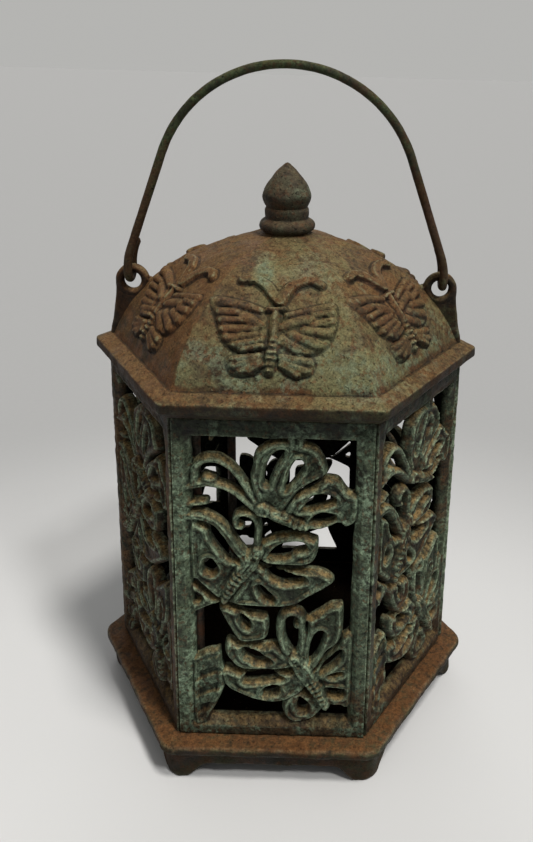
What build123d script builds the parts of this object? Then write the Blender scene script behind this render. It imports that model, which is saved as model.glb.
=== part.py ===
from build123d import *
import os
from math import acos, atan2, cos, hypot, radians, sin, sqrt, tan

# Cast-iron hexagonal lantern. Millimetres, +Z up, origin at the bottom centre.
# The front face looks along -Y and two corners of the hexagon lie on the X axis.

# Hexagonal plan
sides = 6
turn = 360 / sides
half_turn = radians(turn / 2)

# Openwork panels
panel_apothem = 61.8  # axis to the outer face
panel_height = 131.6
panel_thickness = 5.6
mitre_gap = 0.25  # panel edge to the corner plane
stile_width = 7.5
top_rail = 6.0
bottom_rail = 5.6
border_width = 4.2  # raised outer border of the frame
border_step = 0.8
openwork_thickness = 4.6
openwork_setback = 0.5  # behind the border's face
openwork_lap = 1.5  # the openwork runs this far into the frame
tongue_length = 22.0
tongue_thickness = 2.4
tongue_depth = 2.4
fit_gap = 0.15  # loose fit of tongues, rods and stud in their holes

# Base
base_height = 16.4
plate_thickness = 4.4
plate_ledge = 7.4  # plate beyond the panels
plate_corner_round = 7.0
plate_edge_round = 1.9
apron_setback = 3.2  # apron behind the plate's edge
apron_thickness = 4.5
arch_height = 6.3
arch_half_top = 24.0
arch_slope = 6.0  # the arch is this much wider at the floor, each side

# Roof
rim_height = 6.2
rim_overhang = 4.4  # rim's edge beyond the panels
rim_foot_overhang = 0.8
rim_edge = 3.2  # upright part of the rim's edge
ledge_rise = 2.2
bead_height = 0.5
bead_width = 1.2
dome_setback = 1.7  # dome's foot behind the panels' face
dome_rise = 42.6
dome_wall = 3.5
seat_lip = 2.3  # rim's underside inside the panels
relief_height = 1.0
relief_angle = 42.0  # where the relief sits on the dome's curve, from level

# Ears and handle
ear_inset = 8.9  # ring centre inside the dome's foot corner
ear_lift = 6.6  # ring centre above the hip
ear_ring = 5.0
ear_bar = 2.1
ear_web = 1.6  # half the fin's thickness
ear_foot_inset = 0.6
ear_root = 12.0  # fin's reach into the dome behind the ring
wire = 1.6
hook_gap = 0.5
stub_rise = 9.5
bail_rise = 80.2
bail_lean = 17.0  # degrees the legs lean inwards
bail_bend = 25.0  # radius of the bend from hook to leg

# Finial
finial_collar = 10.7
finial_collar_height = 4.2
finial_neck = 8.1
finial_ring = 8.8
finial_ring_rise = 7.4
finial_bud = 9.6
finial_bud_rise = 14.4
finial_rise = 26.2
bud_taper = 0.62  # share of the bud's width left at this share of its height
finial_seat = 8.4
finial_seat_height = 0.6

# Door
door_gap = 0.6  # above and below the door
pin = 1.25
pin_running_gap = 0.06
pin_in_door = 9.0
pin_reach = 3.0
pin_end_gap = 0.3
hinge_edge_gap = 0.1  # hinge edge to the corner plane, beyond the mitre gap

# Fasteners
rod = 2.0
rod_to_panel = 4.3
boss = 5.0
boss_height = 11.0
rod_in_boss = 8.0
rod_below_nut = 1.6
nut_across = 7.0
nut_height = 3.2
washer = 5.0
washer_thickness = 0.8
stud = 2.5
stud_in_finial = 9.0
stud_below_nut = 1.6
stud_nut_across = 8.0
stud_nut_height = 4.0
stud_washer = 6.5
stud_washer_thickness = 1.0
crown_boss = 8.0
crown_boss_depth = 1.6

# Openwork design, drawn in an opening of this size with its origin at the bottom centre
design_width = 56.0
design_height = 120.0

# Heights and radii that follow
panel_top = base_height + panel_height
panel_inner = panel_apothem - panel_thickness
plate_apothem = panel_apothem + plate_ledge
plate_underside = base_height - plate_thickness
apron_apothem = plate_apothem - apron_setback
rim_top = panel_top + rim_height
rim_apothem = panel_apothem + rim_overhang
dome_apothem = panel_apothem - dome_setback
dome_foot = rim_top + ledge_rise + bead_height
dome_radius = (dome_apothem**2 + dome_rise**2) / (2 * dome_rise)
dome_centre = dome_foot + dome_rise - dome_radius
dome_top = dome_foot + dome_rise
rod_ring = (panel_inner - rod_to_panel - rod) / cos(half_turn)
opening_half = panel_apothem * tan(half_turn) - stile_width
opening_low = base_height + bottom_rail
opening_high = panel_top - top_rail


def corner(apothem):
    """Centre-to-corner distance of a hexagon with this apothem."""
    return apothem / cos(half_turn)


def hip_height(reach):
    """Height of the dome's hip at this distance from the axis."""
    return dome_centre + sqrt(dome_radius**2 - (reach * cos(half_turn)) ** 2)


ear_x = corner(dome_apothem) - ear_inset
ear_z = hip_height(ear_x) + ear_lift
bail_axis = ear_z + ear_ring
hook = ear_bar + hook_gap + wire

hinge_along = (panel_apothem - panel_thickness / 2) * tan(half_turn)
hinge_along -= (panel_thickness / 2 + mitre_gap + hinge_edge_gap) / cos(half_turn)
hinge_out = panel_apothem - panel_thickness / 2

# Places of the six faces, counted from the front, and of the three clamped corners
fixed_panels = {"panel_front": 0, "panel_back_right": 2, "panel_back": 3, "panel_back_left": 4}
fixed_panels["panel_front_left"] = 5
door_place = 1
rod_corners = {"tie_rod_right": 0, "tie_rod_back_left": 120, "tie_rod_front_left": 240}


def hexagon(apothem):
    """Hexagon with corners on the X axis."""
    return RegularPolygon(corner(apothem), sides)


def petal(x0, y0, r0, x1, y1, r1):
    """Flat shape with two round ends joined by tangents."""
    ahead = Vector(x1 - x0, y1 - y0).normalized()
    open_angle = acos((r0 - r1) / hypot(x1 - x0, y1 - y0))
    along = atan2(ahead.Y, ahead.X)
    left = Vector(cos(along + open_angle), sin(along + open_angle))
    right = Vector(cos(along - open_angle), sin(along - open_angle))
    start, end = Vector(x0, y0), Vector(x1, y1)
    outline = [
        Line(start + left * r0, end + left * r1),
        ThreePointArc(end + left * r1, end + ahead * r1, end + right * r1),
        Line(end + right * r1, start + right * r0),
        ThreePointArc(start + right * r0, start - ahead * r0, start + left * r0),
    ]
    return make_face(outline)


# Wings, bodies and leaves: two round ends each, as x, height and radius
top_butterfly = [
    (-3, 87.2, 2.9, 10, 81.7, 2.3),
    (-5, 90.2, 3.5, -21.5, 103.2, 7),
    (-2, 89.2, 3, 6.5, 104.7, 11),
    (6.5, 108, 6, 7.5, 116, 5.2),
    (6, 85.7, 3, 20.5, 91.2, 8),
    (-31, 89.2, 1.6, -21, 89.7, 1.8),
]
middle_butterfly = [
    (-5.5, 71.2, 2.6, -17.5, 52.2, 2),
    (-5, 73.2, 1.4, -4, 84.2, 1.6),
    (-7, 73.2, 1.3, -10.5, 83.2, 2.2),
    (-10, 70.2, 2.5, -22.5, 81.2, 6.5),
    (-13, 62.2, 3, -22.5, 64.2, 7),
    (-18, 55.2, 2.5, -28, 51.7, 5),
    (-2, 71.2, 2.5, 11, 73.2, 6.5),
    (-4, 66.2, 2.6, 13, 62.2, 5.5),
    (13, 62.2, 5.4, 21.8, 62.2, 1.2),
    (-9, 60.2, 2.2, -1.5, 53.2, 6),
]
bottom_butterfly = [
    (7.5, 28.2, 2.6, 20, 7.7, 2),
    (3, 28.2, 2.6, -10, 29.7, 5),
    (7, 21.2, 3, -3, 17.7, 7.5),
    (-3, 17.7, 7.2, -17.5, 19.2, 1.8),
    (14, 16.2, 3, 11, 6.4, 6.8),
    (8, 30.2, 2.3, 7.5, 42.7, 5.7),
    (11, 30.2, 2.5, 19, 43.2, 6),
    (19, 43.2, 5.7, 26.5, 52.2, 1.6),
    (14, 25.2, 2.3, 25, 31.2, 5),
    (16, 18.2, 2.3, 27, 17.2, 5.5),
]
leaves = [
    (-14, 48.2, 3, -7, 39.7, 6),
    (-24, 23.7, 5.6, -24.5, 11.2, 6.6),
    (-24.5, 11.2, 6.4, -27, 2.2, 4),
]
wing_cells = [
    (-10.5, 96.5, 1, -20.5, 103.7, 2.3),
    (-0.3, 97.2, 1.2, 1.8, 107.2, 2.7),
    (5.3, 97.2, 1, 8.5, 105.4, 2),
    (12.5, 90.2, 1.4, 20.5, 94.5, 2.4),
    (15.5, 85.9, 0.9, 21, 87.2, 1.2),
    (-15.5, 71.9, 0.9, -20.5, 78.7, 2),
    (-21, 66.4, 1.8, -22.3, 66.8, 2),
    (-27.2, 52.9, 1.2, -27.8, 52.6, 1.4),
    (0.5, 71.5, 1.2, 11.5, 74.5, 1.8),
    (0.8, 63.6, 1.2, 8, 62.2, 1.6),
    (-4, 57.4, 0.8, -1.6, 54.4, 1.4),
    (-9.7, 44.2, 0.8, -7.8, 41.2, 1.4),
    (-8, 30.6, 1.6, -1.8, 28, 1.1),
    (-7.5, 19.5, 1.3, 1.5, 20.5, 1.4),
    (-0.8, 14, 0.9, 5, 15.4, 1.3),
    (11.6, 11, 0.9, 10.9, 8.2, 1.3),
    (8.3, 33.7, 1, 8, 41.7, 1.8),
    (14.6, 31.7, 1, 18, 40.7, 1.7),
    (19.5, 26.2, 0.8, 24.5, 30.7, 1.5),
    (21, 15.5, 1, 26.5, 16.4, 1.3),
]

# Right half of the butterfly cast on each roof face, about its centre, drawn on a face of this width
roof_design_width = 54.6
roof_butterfly = [
    (3, 3, 3.2, 15.5, 3.5, 7.2),
    (3, -4, 3, 9.5, -11, 6.5),
    (1.2, 8, 1.3, 5.5, 13.5, 1.4),
    (5.5, 13.5, 1.4, 13.5, 16.5, 1.6),
]
roof_butterfly_body = (0, 6, 2.7, 0, -16.5, 2)


def openwork():
    """Butterflies and leaves joined to one flat grille, stretched to the opening."""
    stretch_x = 2 * opening_half / design_width
    stretch_y = (opening_high - opening_low) / design_height

    def drawn(shape, grow):
        x0, y0, r0, x1, y1, r1 = shape
        place_0 = (x0 * stretch_x, opening_low + y0 * stretch_y, r0 * grow)
        place_1 = (x1 * stretch_x, opening_low + y1 * stretch_y, r1 * grow)
        return petal(*place_0, *place_1)

    shapes = top_butterfly + middle_butterfly + bottom_butterfly + leaves
    grille = Sketch() + [drawn(shape, max(stretch_x, stretch_y)) for shape in shapes]
    grille -= [drawn(cell, min(stretch_x, stretch_y)) for cell in wing_cells]
    window = Pos(0, (opening_low + opening_high) / 2) * Rectangle(
        2 * (opening_half + openwork_lap), opening_high - opening_low + 2 * openwork_lap
    )
    back = panel_apothem - openwork_setback - openwork_thickness
    return extrude(Plane.XZ.offset(back) * (grille & window), openwork_thickness)


def upright(outline, low, high):
    """Plan outline raised between two heights."""
    return extrude(Pos(0, 0, low) * outline, high - low)


def panel_plan(hinged):
    """Plan of a panel: mitred edges, or a round edge about the hinge on a door's right."""
    edge_cut = mitre_gap / cos(half_turn)
    outer = panel_apothem * tan(half_turn) - edge_cut
    inner = panel_inner * tan(half_turn) - edge_cut
    points = [(-outer, -panel_apothem), (outer, -panel_apothem), (inner, -panel_inner), (-inner, -panel_inner)]
    plan = make_face(Polyline(*points, close=True))
    if not hinged:
        return plan
    slab_width = outer + hinge_along
    slab = Pos((hinge_along - outer) / 2, -hinge_out) * Rectangle(slab_width, panel_thickness)
    return (plan & slab) + Pos(hinge_along, -hinge_out) * Circle(panel_thickness / 2)


def panel(hinged=False):
    """One openwork casting on the front face."""
    low = base_height + (door_gap if hinged else 0)
    high = panel_top - (door_gap if hinged else 0)
    frame = upright(panel_plan(hinged), low, high)
    middle = (opening_low + opening_high) / 2
    through = Pos(0, -panel_apothem, middle) * Box(
        2 * opening_half, 4 * panel_thickness, opening_high - opening_low
    )
    recess_half = panel_apothem * tan(half_turn) - border_width
    recess_low = base_height + border_width
    recess_high = panel_top - border_width
    recess = Pos(0, -panel_apothem, (recess_low + recess_high) / 2) * Box(
        2 * recess_half, 2 * border_step, recess_high - recess_low
    )
    frame -= [through, recess]
    if not hinged:
        frame += tongues(0)
    return frame + openwork()


def tongues(gap):
    """Tabs above and below a fixed panel, or their pockets when a gap is given."""
    middle = panel_apothem - panel_thickness / 2
    height = panel_height + 2 * (tongue_depth + gap)
    tab = Box(tongue_length + 2 * gap, tongue_thickness + 2 * gap, height)
    tab = Pos(0, -middle, base_height + panel_height / 2) * tab
    return tab - Pos(0, -middle, base_height + panel_height / 2) * Box(
        2 * tongue_length, 2 * panel_thickness, panel_height
    )


def around(shape, place):
    """The shape turned from the front face to another face."""
    return Rot(0, 0, turn * place) * shape


def door_hinge(radius, low, high):
    """Upright cylinder on the door's hinge line."""
    post = Pos(hinge_along, -hinge_out, low) * extrude(Circle(radius), high - low)
    return around(post, door_place)


def door_pin(at_top):
    """Pin pressed into the door's hinge edge and running in the rim or the base."""
    length = pin_in_door + door_gap + pin_reach
    low = panel_top + pin_reach - length if at_top else base_height - pin_reach
    return door_hinge(pin, low, low + length)


def pin_socket(at_top):
    """Running hole for a door pin."""
    depth = pin_reach + pin_end_gap
    low = panel_top if at_top else base_height - depth
    return door_hinge(pin + pin_running_gap, low, low + depth)


def at_corners(shape):
    """The shape on the rod ring, turned to the three clamped corners."""
    return [Rot(0, 0, angle) * Pos(rod_ring, 0, 0) * shape for angle in rod_corners.values()]


def rod_cylinder(radius, low, high):
    """Upright cylinder on the axis between two heights."""
    return Pos(0, 0, low) * extrude(Circle(radius), high - low)


def arch():
    """Low arch cut through the apron on the front side."""
    half_floor = arch_half_top + arch_slope
    bend = (arch_half_top + 0.7 * arch_slope, 0.7 * arch_height)
    outline = [
        Line((-half_floor, 0), (half_floor, 0)),
        ThreePointArc((half_floor, 0), bend, (arch_half_top, arch_height)),
        Line((arch_half_top, arch_height), (-arch_half_top, arch_height)),
        ThreePointArc((-arch_half_top, arch_height), (-bend[0], bend[1]), (-half_floor, 0)),
    ]
    inside = apron_apothem - 2 * apron_thickness
    return extrude(Plane.XZ.offset(inside) * make_face(outline), 3 * apron_thickness)


def base():
    """Plate with a rounded edge on a hollow apron with six corner feet."""
    outline = fillet(hexagon(plate_apothem).vertices(), plate_corner_round)
    plate = upright(outline, plate_underside, base_height)
    rims = plate.edges().group_by(Axis.Z)
    plate = fillet(rims[0] + rims[-1], plate_edge_round)
    apron_outline = fillet(hexagon(apron_apothem).vertices(), plate_corner_round - apron_setback)
    apron = upright(apron_outline, 0, plate_underside + plate_edge_round)
    apron -= upright(hexagon(apron_apothem - apron_thickness), 0, plate_underside)
    body = plate + apron
    body -= [around(arch(), place) for place in range(sides)]
    body -= [around(tongues(fit_gap), place) for place in fixed_panels.values()]
    body -= at_corners(rod_cylinder(rod + fit_gap, 0, 2 * base_height))
    return body - pin_socket(False)


def vault(section):
    """Six-sided solid with the same section across each pair of faces."""
    length = 2 * corner(rim_apothem)
    bar = extrude(Plane.YZ * section, length, both=True)
    bars = [Rot(0, 0, turn * place) * bar for place in range(sides // 2)]
    return bars[0] & bars[1] & bars[2]


def mirrored_section(right_side, low, crown):
    """Closed section from its right side, whose last point carries the crown's arc."""
    left_side = [edge.mirror(Plane.YZ) for edge in right_side]
    start = right_side[0] @ 0
    end = right_side[-1] @ 1
    floor = Line((-start.X, low), (start.X, low))
    arc = ThreePointArc((end.X, end.Y), (0, crown), (-end.X, end.Y))
    return make_face([floor, *right_side, arc, *left_side])


def roof_outside():
    """Moulded rim, sloping ledge with a bead, and the dome."""
    foot = panel_apothem + rim_foot_overhang
    edge_low = rim_top - rim_edge
    sag = 0.75
    bead = dome_apothem + bead_width
    under = (foot + sag * (rim_apothem - foot), panel_top + (1 - sag) * (edge_low - panel_top))
    right_side = [
        ThreePointArc((foot, panel_top), under, (rim_apothem, edge_low)),
        Line((rim_apothem, edge_low), (rim_apothem, rim_top)),
        Line((rim_apothem, rim_top), (bead, rim_top + ledge_rise)),
        Line((bead, rim_top + ledge_rise), (bead, dome_foot)),
        Line((bead, dome_foot), (dome_apothem, dome_foot)),
    ]
    return vault(mirrored_section(right_side, panel_top, dome_top))


def roof_hollow():
    """Space under the rim and the dome."""
    reach = panel_inner - seat_lip
    inner_radius = dome_radius - dome_wall
    spring = dome_centre + sqrt(inner_radius**2 - reach**2)
    right_side = [Line((reach, panel_top), (reach, spring))]
    return vault(mirrored_section(right_side, panel_top, dome_top - dome_wall))


def relief():
    """Butterfly in low relief on the front face of the dome."""
    skin_radius = dome_radius + relief_height
    reach = sqrt(skin_radius**2 - (dome_foot - dome_centre) ** 2)
    floor = Line((-reach, dome_foot), (reach, dome_foot))
    crown = ThreePointArc((reach, dome_foot), (0, dome_top + relief_height), (-reach, dome_foot))
    skin = vault(make_face([floor, crown]))
    level, rise = cos(radians(relief_angle)), sin(radians(relief_angle))
    depth = dome_radius - 2 * dome_wall
    seat = Plane((0, -depth * level, dome_centre + depth * rise), x_dir=(1, 0, 0), z_dir=(0, -level, rise))
    face_width = 2 * dome_radius * level * tan(half_turn)
    grow = face_width / roof_design_width
    right_half = [petal(*[grow * size for size in wing]) for wing in roof_butterfly]
    left_half = [wing.mirror(Plane.YZ) for wing in right_half]
    shape = petal(*[grow * size for size in roof_butterfly_body]) + right_half + left_half
    return extrude(seat * shape, 2 * (dome_wall + relief_height)) & skin


def ear():
    """Fin on the right hip with a round ring at its top."""
    foot_x = corner(dome_apothem) + ear_foot_inset
    root = ear_x - ear_root
    points = [
        (ear_x + ear_ring, ear_z),
        (foot_x, dome_foot - ledge_rise),
        (root, dome_foot - ledge_rise),
        (root, hip_height(root) - ear_bar),
    ]
    fin = extrude(Plane.XZ * make_face(Polyline(*points, close=True)), ear_web, both=True)
    place = Pos(ear_x, 0, ear_z) * Rot(90, 0, 0)
    fin -= place * Cylinder(ear_ring, 4 * ear_web)
    return fin + place * Torus(ear_ring, ear_bar)


def roof():
    """Hollow roof casting with ears, rod bosses and the finial's seat."""
    outside = roof_outside()
    body = outside + [ear(), Rot(0, 0, 180) * ear()]
    butterfly = relief()
    body += [around(butterfly, place) for place in range(sides)]
    body += rod_cylinder(finial_seat, dome_top - dome_wall, dome_top + finial_seat_height)
    body -= roof_hollow()
    boss_post = rod_cylinder(boss, panel_top, panel_top + boss_height)
    body += [post & outside for post in at_corners(boss_post)]
    crown_low = dome_top - dome_wall - crown_boss_depth
    body += rod_cylinder(crown_boss, crown_low, dome_top - dome_wall / 2)
    body -= at_corners(rod_cylinder(rod, panel_top, panel_top + rod_in_boss))
    body -= rod_cylinder(stud + fit_gap, crown_low, dome_top + finial_rise)
    body -= [around(tongues(fit_gap), place) for place in fixed_panels.values()]
    return body - pin_socket(True)


def finial():
    """Bud on two turned rings, bored for its stud."""
    seat = dome_top + finial_seat_height
    collar_half = finial_collar_height / 2
    neck_z = (finial_collar_height + finial_ring_rise) / 2
    ring_half = finial_ring_rise - neck_z
    waist_z = finial_ring_rise + ring_half
    bud_shoulder = (finial_bud * bud_taper, finial_bud_rise + bud_taper * (finial_rise - finial_bud_rise))
    outline = [
        Line((0, 0), (finial_collar - collar_half, 0)),
        ThreePointArc((finial_collar - collar_half, 0), (finial_collar, collar_half),
                      (finial_neck + ring_half / 2, finial_collar_height)),
        Line((finial_neck + ring_half / 2, finial_collar_height), (finial_neck, neck_z)),
        ThreePointArc((finial_neck, neck_z), (finial_ring, finial_ring_rise), (finial_neck, waist_z)),
        Spline((finial_neck, waist_z), (finial_bud, finial_bud_rise), bud_shoulder, (0, finial_rise)),
        Line((0, finial_rise), (0, 0)),
    ]
    bud = revolve(Plane.XZ * make_face(outline), Axis.Z)
    return Pos(0, 0, seat) * bud - rod_cylinder(stud, seat, seat + stud_in_finial)


def ring_blank(outline, bore, low, height):
    """Flat blank with a round bore."""
    return upright(outline - Circle(bore), low, low + height)


def stud_pieces():
    """Stud, washer and nut that hold the finial, hanging under the crown."""
    crown_low = dome_top - dome_wall - crown_boss_depth
    washer_low = crown_low - stud_washer_thickness
    nut_low = washer_low - stud_nut_height
    stud_top = dome_top + finial_seat_height + stud_in_finial
    hexagon_nut = RegularPolygon(stud_nut_across / 2, sides, major_radius=False)
    return {
        "finial_stud": rod_cylinder(stud, nut_low - stud_below_nut, stud_top),
        "finial_washer": ring_blank(Circle(stud_washer), stud + fit_gap, washer_low, stud_washer_thickness),
        "finial_nut": ring_blank(hexagon_nut, stud, nut_low, stud_nut_height),
    }


def rod_pieces():
    """Three tie rods, and their washers and nuts under the base."""
    washer_low = plate_underside - washer_thickness
    nut_low = washer_low - nut_height
    tie_rod = rod_cylinder(rod, nut_low - rod_below_nut, panel_top + rod_in_boss)
    one_washer = ring_blank(Circle(washer), rod + fit_gap, washer_low, washer_thickness)
    hexagon_nut = RegularPolygon(nut_across / 2, sides, major_radius=False)
    one_nut = ring_blank(hexagon_nut, rod, nut_low, nut_height)
    pieces = dict(zip(rod_corners, at_corners(tie_rod)))
    pieces["rod_washers"] = Compound(children=at_corners(one_washer))
    pieces["rod_nuts"] = Compound(children=at_corners(one_nut))
    return pieces


def bail_right_side():
    """Right half of the handle's centre line, from the end of the hook to the top."""
    lean = radians(bail_lean)
    bend_x = ear_x - bail_bend * (1 - cos(lean))
    bend_z = bail_axis + bail_bend * sin(lean)
    over_bend = bail_axis + bail_rise - bend_z
    bow = (bend_x / tan(lean) - over_bend) / (1 / sin(lean) - 1)
    bow_centre = bail_axis + bail_rise - bow
    middle = radians((90 + bail_lean) / 2)
    bend_middle = (ear_x - bail_bend * (1 - cos(lean / 2)), -hook, bail_axis + bail_bend * sin(lean / 2))
    leg_top = (bow * cos(lean), -hook, bow_centre + bow * sin(lean))
    return [
        Line((ear_x, hook, bail_axis + stub_rise), (ear_x, hook, bail_axis)),
        ThreePointArc((ear_x, hook, bail_axis), (ear_x, 0, bail_axis - hook), (ear_x, -hook, bail_axis)),
        ThreePointArc((ear_x, -hook, bail_axis), bend_middle, (bend_x, -hook, bend_z)),
        Line((bend_x, -hook, bend_z), leg_top),
        ThreePointArc(leg_top, (bow * cos(middle), -hook, bow_centre + bow * sin(middle)),
                      (0, -hook, bail_axis + bail_rise)),
    ]


def bail():
    """Wire handle: hook, leg, arch, leg and hook in one sweep."""
    right_side = bail_right_side()
    left_side = [edge.mirror(Plane.YZ) for edge in right_side]
    start = Plane(right_side[0] @ 0, z_dir=right_side[0] % 0)
    return sweep(start * Circle(wire), Wire(right_side + left_side))


def main():
    """Builds every piece and writes one file for each."""
    fixed = panel()
    pieces = {name: around(fixed, place) for name, place in fixed_panels.items()}
    door = panel(hinged=True)
    pieces["door_pin_top"] = door_pin(True)
    pieces["door_pin_bottom"] = door_pin(False)
    pieces["door_panel"] = around(door, door_place) - pieces["door_pin_top"] - pieces["door_pin_bottom"]
    pieces["base_plate"] = base()
    pieces["roof"] = roof()
    pieces["finial"] = finial()
    pieces["bail_handle"] = bail()
    pieces.update(stud_pieces())
    pieces.update(rod_pieces())
    os.makedirs("parts", exist_ok=True)
    for name, shape in pieces.items():
        export_step(shape, f"parts/{name}.step")


main()
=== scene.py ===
"""Looks of a cast-iron hexagonal lantern with butterfly openwork. Metres, in the solids' frame."""
import bmesh
import bpy
import numpy as np
from math import cos, pi, radians, sin, tan
from mathutils import Matrix, Vector


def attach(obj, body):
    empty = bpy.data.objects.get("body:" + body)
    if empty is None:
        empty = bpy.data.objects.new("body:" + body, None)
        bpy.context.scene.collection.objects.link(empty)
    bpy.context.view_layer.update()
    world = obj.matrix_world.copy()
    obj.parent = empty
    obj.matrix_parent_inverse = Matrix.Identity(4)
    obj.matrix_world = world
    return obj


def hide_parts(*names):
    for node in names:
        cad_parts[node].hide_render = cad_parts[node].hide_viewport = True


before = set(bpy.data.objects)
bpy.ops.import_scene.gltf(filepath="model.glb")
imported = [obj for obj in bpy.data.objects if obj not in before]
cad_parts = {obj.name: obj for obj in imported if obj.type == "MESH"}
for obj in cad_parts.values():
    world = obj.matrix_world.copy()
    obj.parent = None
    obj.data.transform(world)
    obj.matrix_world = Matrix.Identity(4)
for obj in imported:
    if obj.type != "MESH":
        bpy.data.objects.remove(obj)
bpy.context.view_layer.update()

# Sizes in millimetres, those of the solids but for the wider arches of the base. Faces, backs and
# reaches are distances from the upright axis.
MM = 0.001
TAN = tan(radians(30))
PANEL_FACE, PANEL_BACK = 61.8, 56.2
WORK_FACE, WORK_BACK = 61.3, 56.7
PANEL_LOW, PANEL_TOP = 16.4, 148.0
PANEL_GAP, DOOR_GAP = 0.29, 0.6
OPEN_LOW, OPEN_HIGH, OPEN_HALF = 23.2, 141.0, 28.6
HINGE_ALONG, HINGE_OUT, HINGE_ROUND = 30.426, 59.0, 2.8
DOME_RADIUS, DOME_INSIDE, DOME_CENTRE, DOME_FOOT = 63.697, 60.2, 135.803, 156.9
CROWN_TOP, CROWN_UNDER, STUD_HOLE = 200.1, 194.4, 2.7
EAR_X, EAR_Z, EAR_RING, EAR_BAR = 60.4975, 178.6274, 5.0, 1.6
ROD_REACH, ROD_HOLE, SOCKET_TOP = 57.6, 2.2, 159.0
PLATE_UNDER, ARCH_HIGH, ARCH_TOP_HALF, ARCH_FOOT_HALF = 12.0, 6.3, 24.4, 32.8
BAIL_AXIS, HOOK, WIRE = 183.6274, 4.2, 1.66

# Limits for the meshes: a distance past everything, and the least share of a grid step that a cut leaves
FAR = 1e9
SLIVER = 0.06

# How dark the inside is painted, smoke-black and painted shade, from 0 to 1
INSIDE_SOOT_SHADE = 0.95

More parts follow.
